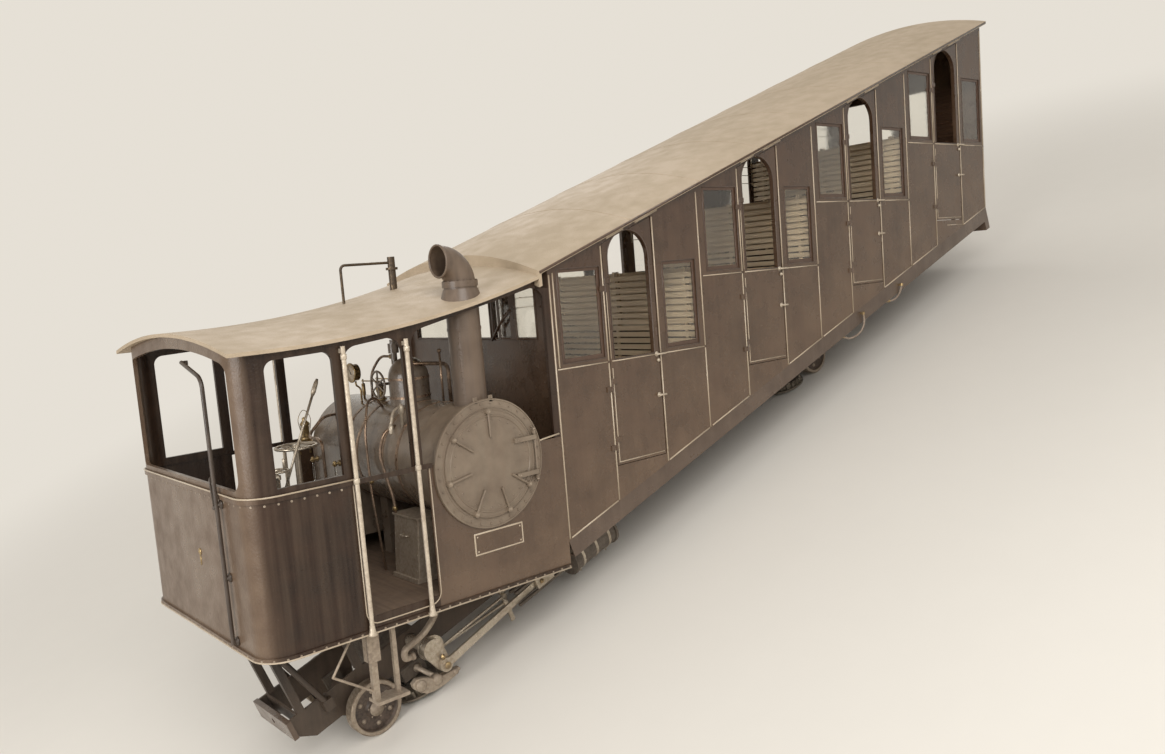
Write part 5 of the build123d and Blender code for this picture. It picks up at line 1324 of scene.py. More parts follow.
    def door_trim(self, index: int, side: Side) -> None:
        """Lining, waist strip and arch bead of one door.

        Args:
            index: compartment, from 0.
            side: side of the car.
        """
        plan = self.plan
        mesh = self.drawing()
        y = self.face(side)
        out = (0, side.value, 0)
        opening, closing = plan.door_span(index)
        left, right = opening + 0.026, closing - 0.024
        waist = plan.waist_of(index)
        bottom = index * plan.step + plan.floor_rise + 0.03
        mesh.bead([(left, y, waist - 0.05), (left, y, bottom), (right, y, bottom)], 0.01, 0.005, out)
        mesh.bead([(left, y, waist + 0.007), (right, y, waist + 0.007)], *self.waist_line, out)
        mesh.bead([(left - 0.008, y, waist + 0.03), (left - 0.008, y, waist + 0.7)], 0.008, 0.004, out)
        mesh.piece(f"door_lining_{side.label}_{index + 1}", "lining_cream_paint",
                   f"door_{side.label}_{index + 1}")
        arch = self.drawing()
        low, high = opening + 0.006, closing - 0.009
        middle, radius = (low + high) / 2, (high - low) / 2 - plan.door_stile + 0.006
        spring = waist + plan.door_springing
        crown = [(x, y, z) for x, z in on_circle((middle, spring), radius, arc(180, -1, -10))]
        line = [(middle - radius, y, waist + 0.018), *crown, (middle + radius, y, waist + 0.018)]
        arch.bead(line, 0.01, 0.005, out, closed=True)
        arch.piece(f"door_arch_bead_{side.label}_{index + 1}", "sill_brown_paint",
                   f"door_{side.label}_{index + 1}")

    def door_handle(self, index: int, side: Side) -> None:
        """Bar handle, its knob and the lower latch of one door.

        Args:
            index: compartment, from 0.
            side: side of the car.
        """
        plan = self.plan
        mesh = self.drawing()
        y = self.face(side)
        out = side.value
        x = plan.door_span(index)[1] - 0.04
        waist = plan.waist_of(index)
        for z, reach in ((waist + 0.008, 0.085), (waist - self.handle_drop, 0.06)):
            mesh.turned((x, y, z), (0, out, 0),
                        [(0, 0.022), (0.004, 0.022), (0.007, 0.01), (0.03, 0.009)], 16)
            mesh.rod((x - reach * 0.35, y + out * 0.032, z), (x + reach, y + out * 0.032, z), 0.008)
        mesh.turned((x + 0.012, y, waist - 0.045), (0, out, 0),
                    [(0, 0.014), (0.012, 0.016), (0.022, 0.008)], 16)
        mesh.piece(f"door_handle_{side.label}_{index + 1}", "rail_steel", f"door_{side.label}_{index + 1}")

    def shutter(self, index: int) -> None:
        """Raised wooden shutter in the arch of one far door, with its louvre slats.

        Args:
            index: compartment, from 0.
        """
        plan = self.plan
        mesh = self.drawing()
        y = plan.half_width - 0.02
        opening, closing = plan.door_span(index)
        low, high = opening + 0.006, closing - 0.009
        middle, reach = (low + high) / 2, (high - low) / 2 - plan.door_stile - 0.0005
        waist = plan.waist_of(index)
        foot, spring = waist + 0.0245, waist + plan.door_springing
        crown = on_circle((middle, spring), reach, arc(0, 181, 15))
        outline = [(middle - reach, foot), (middle + reach, foot), *crown]
        mesh.prism(outline, y - 0.004, y + 0.004, 0.001)
        stile = 0.035
        left, right = middle - reach + stile, middle + reach - stile
        for x0, x1 in ((middle - reach, left), (right, middle + reach)):
            mesh.block((x0, y - 0.012, foot), (x1, y + 0.012, spring))
        for z in (foot, (foot + spring) / 2 - 0.03, spring - 0.05):
            mesh.block((left, y - 0.012, z), (right, y + 0.012, z + 0.05))
        for panel in (foot + 0.05, (foot + spring) / 2 + 0.02):
            for slat in range(8):
                z = panel + 0.01 + slat * 0.042
                mesh.prism([(left, z), (right, z), (right, z + 0.01), (left, z + 0.01)], y - 0.01,
                           y + 0.01, 0.002)
        mesh.piece(f"door_shutter_far_{index + 1}", "sash_wood", f"door_far_{index + 1}")


@dataclass
class DriverCab(Assembly):
    """Front cab: strips and rivets, doorway trim, post feet, step plates, hand gear and lantern."""

    length: float = 2.535
    corner: float = 0.2
    bottom: float = -0.214
    belt: float = 0.852
    rail_proud: float = 0.0143
    doorway: Flat = (-1.8, -1.228)
    post_stand: float = 0.034
    hanger_face: float = 1.0205
    cover_thickness: float = 0.003
    post_places: tuple[float, ...] = (-1.8, -1.322)

    def build(self) -> None:
        """Make every trim of the cab."""
        self.belt_strips()
        for side in Side:
            self.doorway_trim(side)
            self.post_feet(side)
            self.step_brackets(side)
        self.front_fittings()
        self.hand_gear()
        self.lantern()

    def corner_line(self, z: float, proud: float, back_near: float, back_far: float) -> list[Point]:
        """Line round the cab's rounded front.

        Args:
            z: height.
            proud: distance outside the sheet.
            back_near: where it ends on the near side.
            back_far: where it ends on the far side.

        Returns:
            Points from the near end round the front to the far end.
        """
        half = self.plan.half_width + proud
        front = -self.length - proud
        radius = self.corner + proud
        points: list[Point] = [(back_near, -half, z)]
        for sign, angles in ((-1, range(0, 91, 10)), (1, range(90, -1, -10))):
            for degrees in angles:
                turn = math.radians(degrees)
                x = front + radius - radius * math.sin(turn)
                y = sign * (half - radius + radius * math.cos(turn))
                points.append((x, y, z))
        points.append((back_far, half, z))
        return points

    def belt_strips(self) -> None:
        """Cream strips on the belt and foot rails, and rows of rivets below the belt."""
        mesh = self.drawing()
        for z, near, far in ((self.belt + 0.019, -1.81, -1.81), (self.bottom + 0.006, -0.01, -0.01)):
            line = self.corner_line(z, self.rail_proud, near, far)
            mesh.tube(line, 0.006, 8)
        mesh.piece("cab_belt_strips", "lining_cream_paint")
        rivets = self.drawing()
        for z, near in ((self.belt - 0.035, -1.81), (self.bottom + 0.017, -0.02)):
            proud = 0.0005 if z > 0 else self.rail_proud
            line = [Vector(point) for point in self.corner_line(z, proud, near, near)]
            spacing = 0.088
            travelled = 0.0
            for start, end in zip(line, line[1:]):
                span = (end - start).length
                along = (end - start).normalized()
                outward = along.cross(Vector(UP))
                while travelled < span:
                    rivets.rivet(start + along * travelled, outward, 0.008, 0.005)
                    travelled += spacing
                travelled -= span
        rivets.piece("cab_rivets", "pale_castings")
        brace = self.drawing()
        y = -self.plan.half_width - 0.004
        brace.pipe([(-0.292, y, 0.77), (-0.272, y, 0.846), (-0.2, y, 0.862), (-0.016, y, 0.88)], 0.007, 0.05)
        brace.piece("boiler_sheet_edge", "lining_cream_paint")

    def post_feet(self, side: Side) -> None:
        """Flared feet and collars of the posts beside the doorway.

        Args:
            side: side of the car.
        """
        mesh = self.drawing()
        y = side.value * (self.plan.half_width + self.post_stand)
        for x in self.post_places:
            mesh.turned((x, y, -0.213), UP,
                        [(0, 0.03), (0.012, 0.03), (0.03, 0.022), (0.07, 0.0175), (0.074, 0.0165)], 20)
            for z in (0.862, 1.7):
                mesh.turned((x, y, z), UP,
                            [(-0.02, 0.0165), (-0.014, 0.0215), (0.014, 0.0215), (0.02, 0.0165)], 20)
        mesh.piece(f"post_feet_{side.label}", "rail_steel")

    def step_brackets(self, side: Side) -> None:
        """Dark cover plates with nuts on the step's hangers.

        Args:
            side: side of the car.
        """
        mesh = self.drawing()
        face = side.value * self.hanger_face
        front = face + side.value * self.cover_thickness
        mesh.block((-1.804, face, -0.442), (-1.71, front, -0.136), 0.001)
        for x in (-1.786, -1.728):
            for z in (-0.165, -0.25, -0.4):
                mesh.nut((x, front, z), (0, side.value, 0), 0.009, 0.008)
        mesh.piece(f"step_bracket_plate_{side.label}", "frame_black_paint")

    def front_fittings(self) -> None:
        """Hook over the belt, handrail roses and keyhole plate of the front sheet."""
        front = -self.length
        mesh = self.drawing()
        mesh.pipe([(front + 0.012, -0.52, 0.9), (front + 0.012, -0.52, 0.972), (front - 0.028, -0.545, 0.966),
                   (front - 0.026, -0.572, 0.781)], 0.008, 0.02)
        mesh.turned((front - 0.026, -0.572, 0.787), DOWN,
                    [(0, 0.008), (0.01, 0.015), (0.022, 0.015), (0.03, 0.006)])
        for z in (-0.14, 0.3, 0.8):
            mesh.turned((front - 0.0005, -0.64, z), DOWNHILL,
                        [(0, 0.032), (0.008, 0.032), (0.02, 0.014), (0.034, 0.013)])
        mesh.piece("front_handrail_roses", "rail_black_paint")
        mark = self.drawing()
        mark.turned((front, -0.095, 0.385), DOWNHILL, [(0, 0.026), (0.004, 0.026), (0.006, 0.018)], 20)
        mark.bead([(front, -0.095, 0.365), (front, -0.095, 0.29)], 0.022, 0.005, DOWNHILL)
        mark.rivet((front - 0.005, -0.095, 0.385), DOWNHILL, 0.006, 0.005)
        mark.piece("front_keyhole_plate", "brass_fittings")

    def hand_gear(self) -> None:
        """Reversing column with its wheel and lever, and the whistle lever beside the boiler."""
        mesh = self.drawing()
        x, y, foot = -1.983, -0.262, -0.0945
        mesh.turned((x, y, foot), UP,
                    [(0, 0.062), (0.012, 0.062), (0.022, 0.034), (0.5, 0.022), (0.9, 0.018), (0.905, 0.026),
                     (0.935, 0.026), (0.94, 0.01), (0.985, 0.01)], 24)
        for a, b in on_circle((x, y), 0.048, evenly(4)):
            mesh.nut((a, b, foot + 0.012), UP, 0.007, 0.006)
        mesh.handwheel((x, y, 0.872), UP, 0.085, 0.008, 5)
        mesh.rod((x + 0.06, y, 0.884), (x + 0.06, y, 0.955), 0.011)
        mesh.block((x + 0.01, y - 0.016, 0.69), (x + 0.052, y + 0.016, 0.73), 0.005)
        mesh.pipe([(x + 0.04, y, 0.705), (-1.8, y, 1.04), (-1.642, y, 1.393)], 0.0095, 0.1)
        mesh.turned((-1.648, y, 1.38), (0.41, 0, 0.91),
                    [(0, 0.012), (0.03, 0.018), (0.1, 0.016), (0.13, 0.008)], 16)
        mesh.piece("reversing_column", "rod_steel")
        lever = self.drawing()
        lever.pipe([(-1.02, -0.44, 1.217), (-1.1, -0.455, 1.19), (-1.16, -0.51, 1.094)], 0.011, 0.04)
        lever.turned((-1.02, -0.44, 1.205), UP,
                     [(-0.165, 0.013), (-0.052, 0.013), (-0.048, 0.022), (0.014, 0.022), (0.02, 0.012),
                      (0.03, 0.01)], 16)
        lever.turned((-1.157, -0.507, 1.1), (-0.2, -0.2, -0.96),
                     [(0, 0.012), (0.02, 0.018), (0.07, 0.014), (0.08, 0.007)], 16)
        lever.piece("whistle_lever", "rail_steel")

    def lantern(self) -> None:
        """Hand lantern on its small shelf inside the far boiler sheet."""
        mesh = self.drawing()
        x, y, z = -1.15, 1.04, 0.852
        sheet = self.plan.half_width - 0.0078
        mesh.block((x - 0.065, y - 0.06, z - 0.01), (x + 0.065, sheet, z + 0.0005), 0.002)
        for stay in (x - 0.05, x + 0.05):
            mesh.rod((stay, y - 0.05, z - 0.006), (stay, sheet, z - 0.1), 0.005, 10)
            mesh.block((stay - 0.01, sheet - 0.006, z - 0.125), (stay + 0.01, sheet, z - 0.005), 0.001)
        mesh.turned((x, y, z), UP,
                    [(0, 0.048), (0.035, 0.05), (0.04, 0.034), (0.045, 0.034), (0.135, 0.034), (0.14, 0.044),
                     (0.15, 0.044), (0.18, 0.018), (0.195, 0.022), (0.21, 0.008)])
        for a, b in on_circle((x, y), 0.042, evenly(4)):
            mesh.rod((a, b, z + 0.034), (a, b, z + 0.146), 0.003, 8)
        mesh.pipe([(x - 0.046, y, z + 0.1), (x - 0.065, y, z + 0.2), (x, y, z + 0.29),
                   (x + 0.065, y, z + 0.2), (x + 0.046, y, z + 0.1)], 0.003, 0.06, 8)
        mesh.piece("hand_lantern", "brass_fittings")

    def doorway_trim(self, side: Side) -> None:
        """Thin strip round the doorway, with rounded lower corners.

        Args:
            side: side of the car.
        """
        mesh = self.drawing()
        y = side.value * self.plan.half_width
        low, high, radius = -0.15, self.belt - 0.02, 0.09
        left, right = self.doorway[0] - 0.012, self.doorway[1] + 0.012
        corners = (on_circle((left + radius, low + radius), radius, arc(180, 271, 15))
                   + on_circle((right - radius, low + radius), radius, arc(270, 361, 15)))
        points = [(left, y, high), *((x, y, z) for x, z in corners), (right, y, high)]
        mesh.bead(points, 0.01, 0.006, (0, side.value, 0))
        mesh.piece(f"cab_doorway_trim_{side.label}", "lining_cream_paint")


@dataclass
class BoilerEnd(Assembly):
    """Smokebox front: ring, door rivets, clamp nuts, hinge caps and the blank plate."""

    centre_x: float = -0.7
    centre_z: float = 0.772
    door_radius: float = 0.405
    flange_radius: float = 0.485
    flange_thickness: float = 0.018
    bolt_circle: float = 0.452
    hinge_from: float = -0.34
    hinge_rise: float = 0.175
    door_dome: float = 0.02
    rim_proud: float = 0.0283
    hinge_proud: float = 0.043
    clamp_proud: float = 0.054
    strap_proud: float = 0.0632
    rivet_circle: float = 0.328
    clamp_circle: float = 0.391
    clamp_turns: tuple[int, ...] = (90, 144, 192, 243, 288, 326)
    plate_low: Flat = (-0.889, 0.11)
    plate_high: Flat = (-0.453, 0.264)

    def build(self) -> None:
        """Make every fitting of the boiler's near end."""
        self.flange()
        self.door_rings()
        self.hinge_caps()
        self.blank_plate()

    @property
    def door_face(self) -> float:
        """y of the door disc's rim."""
        return -self.plan.half_width - self.rim_proud

    def flange(self) -> None:
        """Ridges and nuts of the smokebox ring."""
        mesh = self.drawing()
        face = -self.plan.half_width - self.flange_thickness
        centre = (self.centre_x, face, self.centre_z)
        for radius, half, proud in ((self.flange_radius - 0.007, 0.007, 0.006), (0.42, 0.005, 0.004)):
            mesh.hoop(centre, NEARWARD,
                      [(-0.0005, radius - half), (proud, radius - half * 0.6), (proud, radius + half * 0.6),
                       (-0.0005, radius + half)], 96)
        for x, z in on_circle((self.centre_x, self.centre_z), self.bolt_circle, evenly(32)):
            at_hinge = x > self.hinge_from and abs(abs(z - self.centre_z) - self.hinge_rise) < 0.035
            if not at_hinge:
                mesh.nut((x, face, z), NEARWARD, 0.0085, 0.008)
        mesh.piece("smokebox_flange_nuts", "smokebox_grey_paint")
        lugs = self.drawing()
        top = self.centre_z + self.flange_radius
        for x in (self.centre_x - 0.085, self.centre_x + 0.055):
            lugs.block((x - 0.018, face, top - 0.03), (x + 0.018, face + 0.014, top + 0.022), 0.004)
            lugs.nut((x, face, top + 0.004), NEARWARD, 0.009, 0.008)
        lugs.piece("smokebox_top_lugs", "smokebox_grey_paint")

    def door_rise(self, radius: float) -> float:
        """How far the domed door stands out at a radius."""
        return self.door_dome * (1 - (radius / self.door_radius) ** 2)

    def door_rings(self) -> None:
        """Pressed rim, rivets and centre boss of the smokebox door."""
        mesh = self.drawing()
        centre = (self.centre_x, self.door_face, self.centre_z)
        for radius, half, proud in ((0.358, 0.008, 0.006), (self.door_radius - 0.007, 0.006, 0.005)):
            low = self.door_rise(radius)
            mesh.hoop(centre, NEARWARD,
                      [(low - 0.001, radius - half), (low + proud, radius - half * 0.5),
                       (low + proud, radius + half * 0.5), (low - 0.001, radius + half)], 96)
        middle = (self.centre_x, self.centre_z)
        for x, z in on_circle(middle, self.rivet_circle, evenly(28)):
            mesh.rivet((x, self.door_face - self.door_rise(self.rivet_circle), z), NEARWARD, 0.008, 0.005)
        mesh.piece("smokebox_door_rivets", "smokebox_grey_paint", Body.SMOKEBOX_DOOR.value)
        straps = self.drawing()
        for rise in (-0.135, 0.135):
            for x in (-0.478, -0.462):
                straps.nut((x, -self.plan.half_width - self.strap_proud, self.centre_z + rise), NEARWARD,
                           0.006, 0.006)
        for x, z in on_circle(middle, self.clamp_circle, map(math.radians, self.clamp_turns)):
            straps.nut((x, -self.plan.half_width - self.clamp_proud, z), NEARWARD, 0.012, 0.01)
        straps.piece("smokebox_strap_nuts", "pale_castings", Body.SMOKEBOX_DOOR.value)

    def hinge_caps(self) -> None:
        """Round heads on both ends of the door's hinge pin."""
        mesh = self.drawing()
        y = -self.plan.half_width - self.hinge_proud
        for sign in (-1, 1):
            z = self.centre_z + sign * 0.19
            mesh.turned((self.centre_x + 0.412, y, z), (0, 0, sign),
                        [(-0.001, 0.013), (0.006, 0.013), (0.012, 0.008), (0.014, 0.003)], 18)
        mesh.piece("smokebox_hinge_caps", "pale_castings")

    def blank_plate(self) -> None:
        """Blank plate with a raised rim and four screws."""
        y = -self.plan.half_width
        mesh = self.drawing()
        (x0, z0), (x1, z1) = self.plate_low, self.plate_high
        ring = [(x0, y, z0), (x1, y, z0), (x1, y, z1), (x0, y, z1)]
        mesh.bead(ring, 0.014, 0.008, NEARWARD, closed=True)
        for x in (x0 + 0.022, x1 - 0.022):
            for z in (z0 + 0.022, z1 - 0.022):
                mesh.rivet((x, y - 0.004, z), NEARWARD, 0.007, 0.005)
        mesh.piece("blank_plate_rim", "lining_cream_paint")
        panel = self.drawing()
        panel.block((x0, y - 0.005, z0), (x1, y + 0.001, z1), 0.001)
        panel.piece("blank_plate", "body_brown_paint")


@dataclass
class BoilerFittings(Assembly):
    """Bands, pipes, gauges, valves, fire door and ash locker of the boiler, and the chimney's trim."""

    axis_x: float = -0.7
    axis_z: float = 0.772
    radius: float = 0.43
    firebox_face: float = -1.13
    dome_y: float = -0.05
    dome_radius: float = 0.165
    chimney_y: float = -0.932
    chimney_radius: float = 0.125
    collar_top: float = 2.1363
    collar_circle: float = 0.1265
    gauge_places: Flat = (0.48, 0.9)
    seam_turn: float = math.radians(215)

    def build(self) -> None:
        """Make every fitting."""
        self.bands()
        self.pipes()
        self.valves()
        self.water_gauges()
        self.steam_gauge()
        self.fire_door()
        self.ash_locker()
        self.chimney_trim()

    def bands(self) -> None:
        """Cladding bands round the barrel and the dome."""
        mesh = self.drawing()
        for y in (-0.745, -0.48, -0.26, 0.16, 0.385):
            mesh.band((self.axis_x, y, self.axis_z), FARWARD, self.radius, 0.032, 0.004, 96)
            mesh.block((self.axis_x - 0.33, y - 0.012, self.axis_z + 0.272),
                       (self.axis_x - 0.308, y + 0.012, self.axis_z + 0.302))
            if abs(y - self.dome_y) > self.dome_radius + 0.05:
                mesh.rivet((self.axis_x, y, self.axis_z + self.radius + 0.004), UP, 0.008, 0.005)
        for z in (1.235, 1.385):
            mesh.band((self.axis_x, self.dome_y, z), UP, self.dome_radius, 0.02, 0.004, 64)
        mesh.piece("boiler_bands", "copper_pipes")

    def pipes(self) -> None:
        """Steam and feed pipes over and in front of the boiler."""
        mesh = self.drawing()
        mesh.pipe([(-0.712, -0.125, 1.505), (-0.713, -0.205, 1.505), (-0.413, -0.205, 1.47),
                   (-0.42, -0.22, 1.075)], 0.016, 0.06)
        mesh.pipe([(-0.604, -0.4, 1.18), (-0.604, -0.4, 1.6)], 0.009)
        mesh.turned((-0.604, -0.4, 1.585), UP,
                    [(0, 0.009), (0.004, 0.017), (0.024, 0.017), (0.03, 0.006)], 16)
        mesh.pipe([(-0.985, 0.72, 1.085), (-1.12, 0.72, 1.08), (-1.28, 0.72, 0.93), (-1.29, 0.43, 0.93),
                   (-1.29, 0.42, -0.0946)], 0.013, 0.09)
        mesh.pipe([(-1.02, -0.33, 1.055), (-1.13, -0.33, 1.02), (-1.19, -0.33, 0.86), (-1.15, -0.42, 0.51),
                   (-1.15, -0.43, 0.4)], 0.012, 0.08)
        mesh.pipe([(-0.88, 0.1, 1.157), (-0.96, 0.08, 1.26), (-1.06, 0.02, 1.23), (-1.15, -0.06, 1.0),
                   (-1.175, -0.12, 0.52), (-1.16, -0.2, -0.0946)], 0.01, 0.09)
        mesh.pipe([(-0.73, 0.128, 1.56), (-0.73, 0.33, 1.56), (-0.78, 0.43, 1.42), (-0.78, 0.45, 1.18)],
                  0.011, 0.07)
        mesh.piece("boiler_pipes", "copper_pipes")
        joints = self.drawing()
        flanges = (((-0.712, -0.15, 1.505), FARWARD, 0.03), ((-0.419, -0.219, 1.1), UP, 0.032),
                   ((-1.29, 0.421, 0.4), UP, 0.024), ((-1.15, -0.426, 0.436), UP, 0.02),
                   ((-0.73, 0.15, 1.56), FARWARD, 0.022), ((-1.172, -0.13, 0.62), UP, 0.02))
        for place, axis, radius in flanges:
            joints.turned(place, axis,
                          [(-0.018, radius * 0.7), (-0.008, radius), (0.008, radius), (0.018, radius * 0.7)],
                          6)
        joints.piece("boiler_pipe_unions", "brass_fittings")

    def valves(self) -> None:
        """Two safety valves behind the dome, with their spring levers."""
        mesh = self.drawing()
        for x in (-0.775, -0.64):
            foot = self.axis_z + math.sqrt(self.radius ** 2 - (x - self.axis_x) ** 2)
            mesh.turned((x, 0.3, foot - 0.002), UP,
                        [(0, 0.045), (0.012, 0.045), (0.016, 0.028), (0.11, 0.026), (0.116, 0.036),
                         (0.13, 0.036), (0.15, 0.018), (0.165, 0.016)], 20)
            mesh.rod((x, 0.28, foot + 0.158), (x, 0.62, foot + 0.15), 0.006)
            mesh.turned((x, 0.6, foot - 0.004), UP,
                        [(0, 0.01), (0.03, 0.01), (0.035, 0.016), (0.13, 0.016), (0.135, 0.006),
                         (0.17, 0.006)], 14)
        mesh.piece("safety_valves", "brass_fittings")

    def water_gauges(self) -> None:
        """Two glass water gauges with cocks and drain pipes on the firebox."""
        mesh = self.drawing()
        face = self.firebox_face
        stand = face - 0.045
        for y in self.gauge_places:
            for z in (0.7, 0.44):
                mesh.turned((face + 0.001, y, z), DOWNHILL,
                            [(0, 0.026), (0.008, 0.026), (0.012, 0.012), (0.06, 0.012), (0.066, 0.006)], 16)
                mesh.turned((stand, y, z - 0.022), UP,
                            [(0, 0.011), (0.006, 0.015), (0.04, 0.015), (0.046, 0.011)], 6)
                mesh.rod((stand, y + 0.012, z), (stand, y + 0.052, z - 0.018), 0.005, 8)
            mesh.pipe([(stand, y, 0.425), (stand, y, 0.2), (face - 0.03, y, 0.02)], 0.005, 0.03, 8)
        mesh.piece("water_gauge_cocks", "brass_fittings")
        tubes = self.drawing()
        for y in self.gauge_places:
            tubes.turned((stand, y, 0.463), UP,
                         [(0, 0.0075), (0.001, 0.008), (0.213, 0.008), (0.214, 0.0075)], 16)
        tubes.piece("water_gauge_tubes", "drawn_glass")

    def steam_gauge(self) -> None:
        """Round pressure gauge on its siphon pipe, facing down the line."""
        x, y, z = -0.93, 0.47, 1.44
        mesh = self.drawing()
        mesh.pipe([(x + 0.06, y, 1.15), (x + 0.06, y, 1.3), (x + 0.02, y, 1.33), (x + 0.02, y, z - 0.075)],
                  0.008, 0.03)
        mesh.turned((x + 0.04, y, z), DOWNHILL,
                    [(0, 0.07), (0.045, 0.07), (0.052, 0.084), (0.06, 0.084), (0.064, 0.074), (0.058, 0.072)],
                    40)
        mesh.piece("steam_gauge_case", "brass_fittings")
        dial = self.drawing()
        dial.turned((x - 0.015, y, z), DOWNHILL, [(0, 0.071), (0.0035, 0.071), (0.0036, 0.01)], 40)
        dial.piece("steam_gauge_dial", "lining_cream_paint")
        hand = self.drawing()
        needle = [(x - 0.0205, y - 0.012, z - 0.016), (x - 0.0205, y, z), (x - 0.0205, y + 0.03, z + 0.04)]
        hand.tube(needle, [0.0025, 0.003, 0.001], 8)
        hand.turned((x - 0.0185, y, z), DOWNHILL, [(0, 0.006), (0.004, 0.006), (0.005, 0.003)], 14)
        for step in range(11):
            turn = math.radians(-140 + 28 * step)
            out = Vector((0, math.sin(turn), math.cos(turn)))
            place = Vector((x - 0.0188, y, z))
            hand.rod(place + out * 0.05, place + out * 0.062, 0.0012, 6)
        hand.piece("steam_gauge_hand", "frame_black_paint")

    def fire_door(self) -> None:
        """Round fire door with its ring, hinge straps and latch."""
        face = self.firebox_face
        y, z = 0.69, 0.31
        mesh = self.drawing()
        mesh.turned((face + 0.002, y, z), DOWNHILL,
                    [(0, 0.19), (0.014, 0.19), (0.02, 0.18), (0.02, 0.165), (0.012, 0.16)], 48)
        mesh.turned((face, y, z), DOWNHILL,
                    [(0, 0.15), (0.024, 0.15), (0.034, 0.135), (0.04, 0.05), (0.041, 0.004)], 48)
        for rise in (-0.07, 0.07):
            mesh.block((face - 0.048, y - 0.235, z + rise - 0.016),
                       (face - 0.034, y + 0.09, z + rise + 0.016), 0.004)
        mesh.rod((face - 0.036, y - 0.232, z - 0.125), (face - 0.036, y - 0.232, z + 0.125), 0.011)
        for rise in (-0.11, 0.11):
            mesh.block((face - 0.04, y - 0.25, z + rise - 0.014),
                       (face + 0.001, y - 0.214, z + rise + 0.014), 0.004)
        mesh.block((face - 0.05, y + 0.06, z - 0.01), (face - 0.036, y + 0.21, z + 0.01), 0.003)
        mesh.rod((face - 0.05, y + 0.175, z), (face - 0.11, y + 0.175, z), 0.009)
        mesh.turned((face - 0.105, y + 0.175, z), DOWNHILL,
                    [(0, 0.01), (0.008, 0.018), (0.022, 0.018), (0.03, 0.008)], 16)
        mesh.nut_circle((face, y, z), DOWNHILL, 0.215, 12, 0.008, 0.007)
        mesh.piece("fire_door", "castings")

    def ash_locker(self) -> None:
        """Pale tapered locker below the barrel, with a rim, a ledge and a handle."""
        mesh = self.drawing()
        mesh.prism([(-1.19, -0.0945), (-0.95, -0.0945), (-0.95, 0.39), (-1.15, 0.39)], -0.75, -0.4, 0.006)
        mesh.prism([(-1.163, 0.384), (-0.944, 0.384), (-0.944, 0.402), (-1.163, 0.402)], -0.76, -0.39, 0.004)
        mesh.prism([(-1.205, -0.0945), (-0.944, -0.0945), (-0.944, -0.06), (-1.202, -0.06)], -0.76,
                   -0.39, 0.004)
        mesh.piece("ash_locker", "pale_castings")
        handle = self.drawing()
        handle.pipe([(-1.158, -0.62, 0.25), (-1.192, -0.62, 0.252), (-1.192, -0.53, 0.252),
                     (-1.158, -0.53, 0.25)], 0.006, 0.015)
        for y in (-0.735, -0.415):
            for z in (0.0, 0.12, 0.24, 0.34):
                handle.rivet((-1.19 + (z + 0.0945) * 0.0826, y, z), (-1, 0, 0.08), 0.006, 0.004)
        handle.piece("ash_locker_handle", "rod_steel")

    def chimney_trim(self) -> None:
        """Collar nuts, seam rivets and the rolled rim at the elbow's mouth."""
        mesh = self.drawing()
        x, y = self.axis_x, self.chimney_y
        for a, b in on_circle((x, y), self.collar_circle, evenly(12)):
            mesh.nut((a, b, self.collar_top), UP, 0.006, 0.006)
        away = Vector((math.cos(self.seam_turn), math.sin(self.seam_turn), 0))
        for index in range(12):
            mesh.rivet(Vector((x, y, 1.3 + index * 0.042)) + away * self.chimney_radius, away, 0.006, 0.004)
        mesh.hoop((-0.872, y, 2.29), DOWNHILL, ring_section(0.009, 0.118), 56)
        for level in (1.235, 1.78):
            mesh.band((x, y, level), UP, self.chimney_radius, 0.022, 0.004, 56)
        mesh.piece("chimney_trim", "chimney_soot_paint")


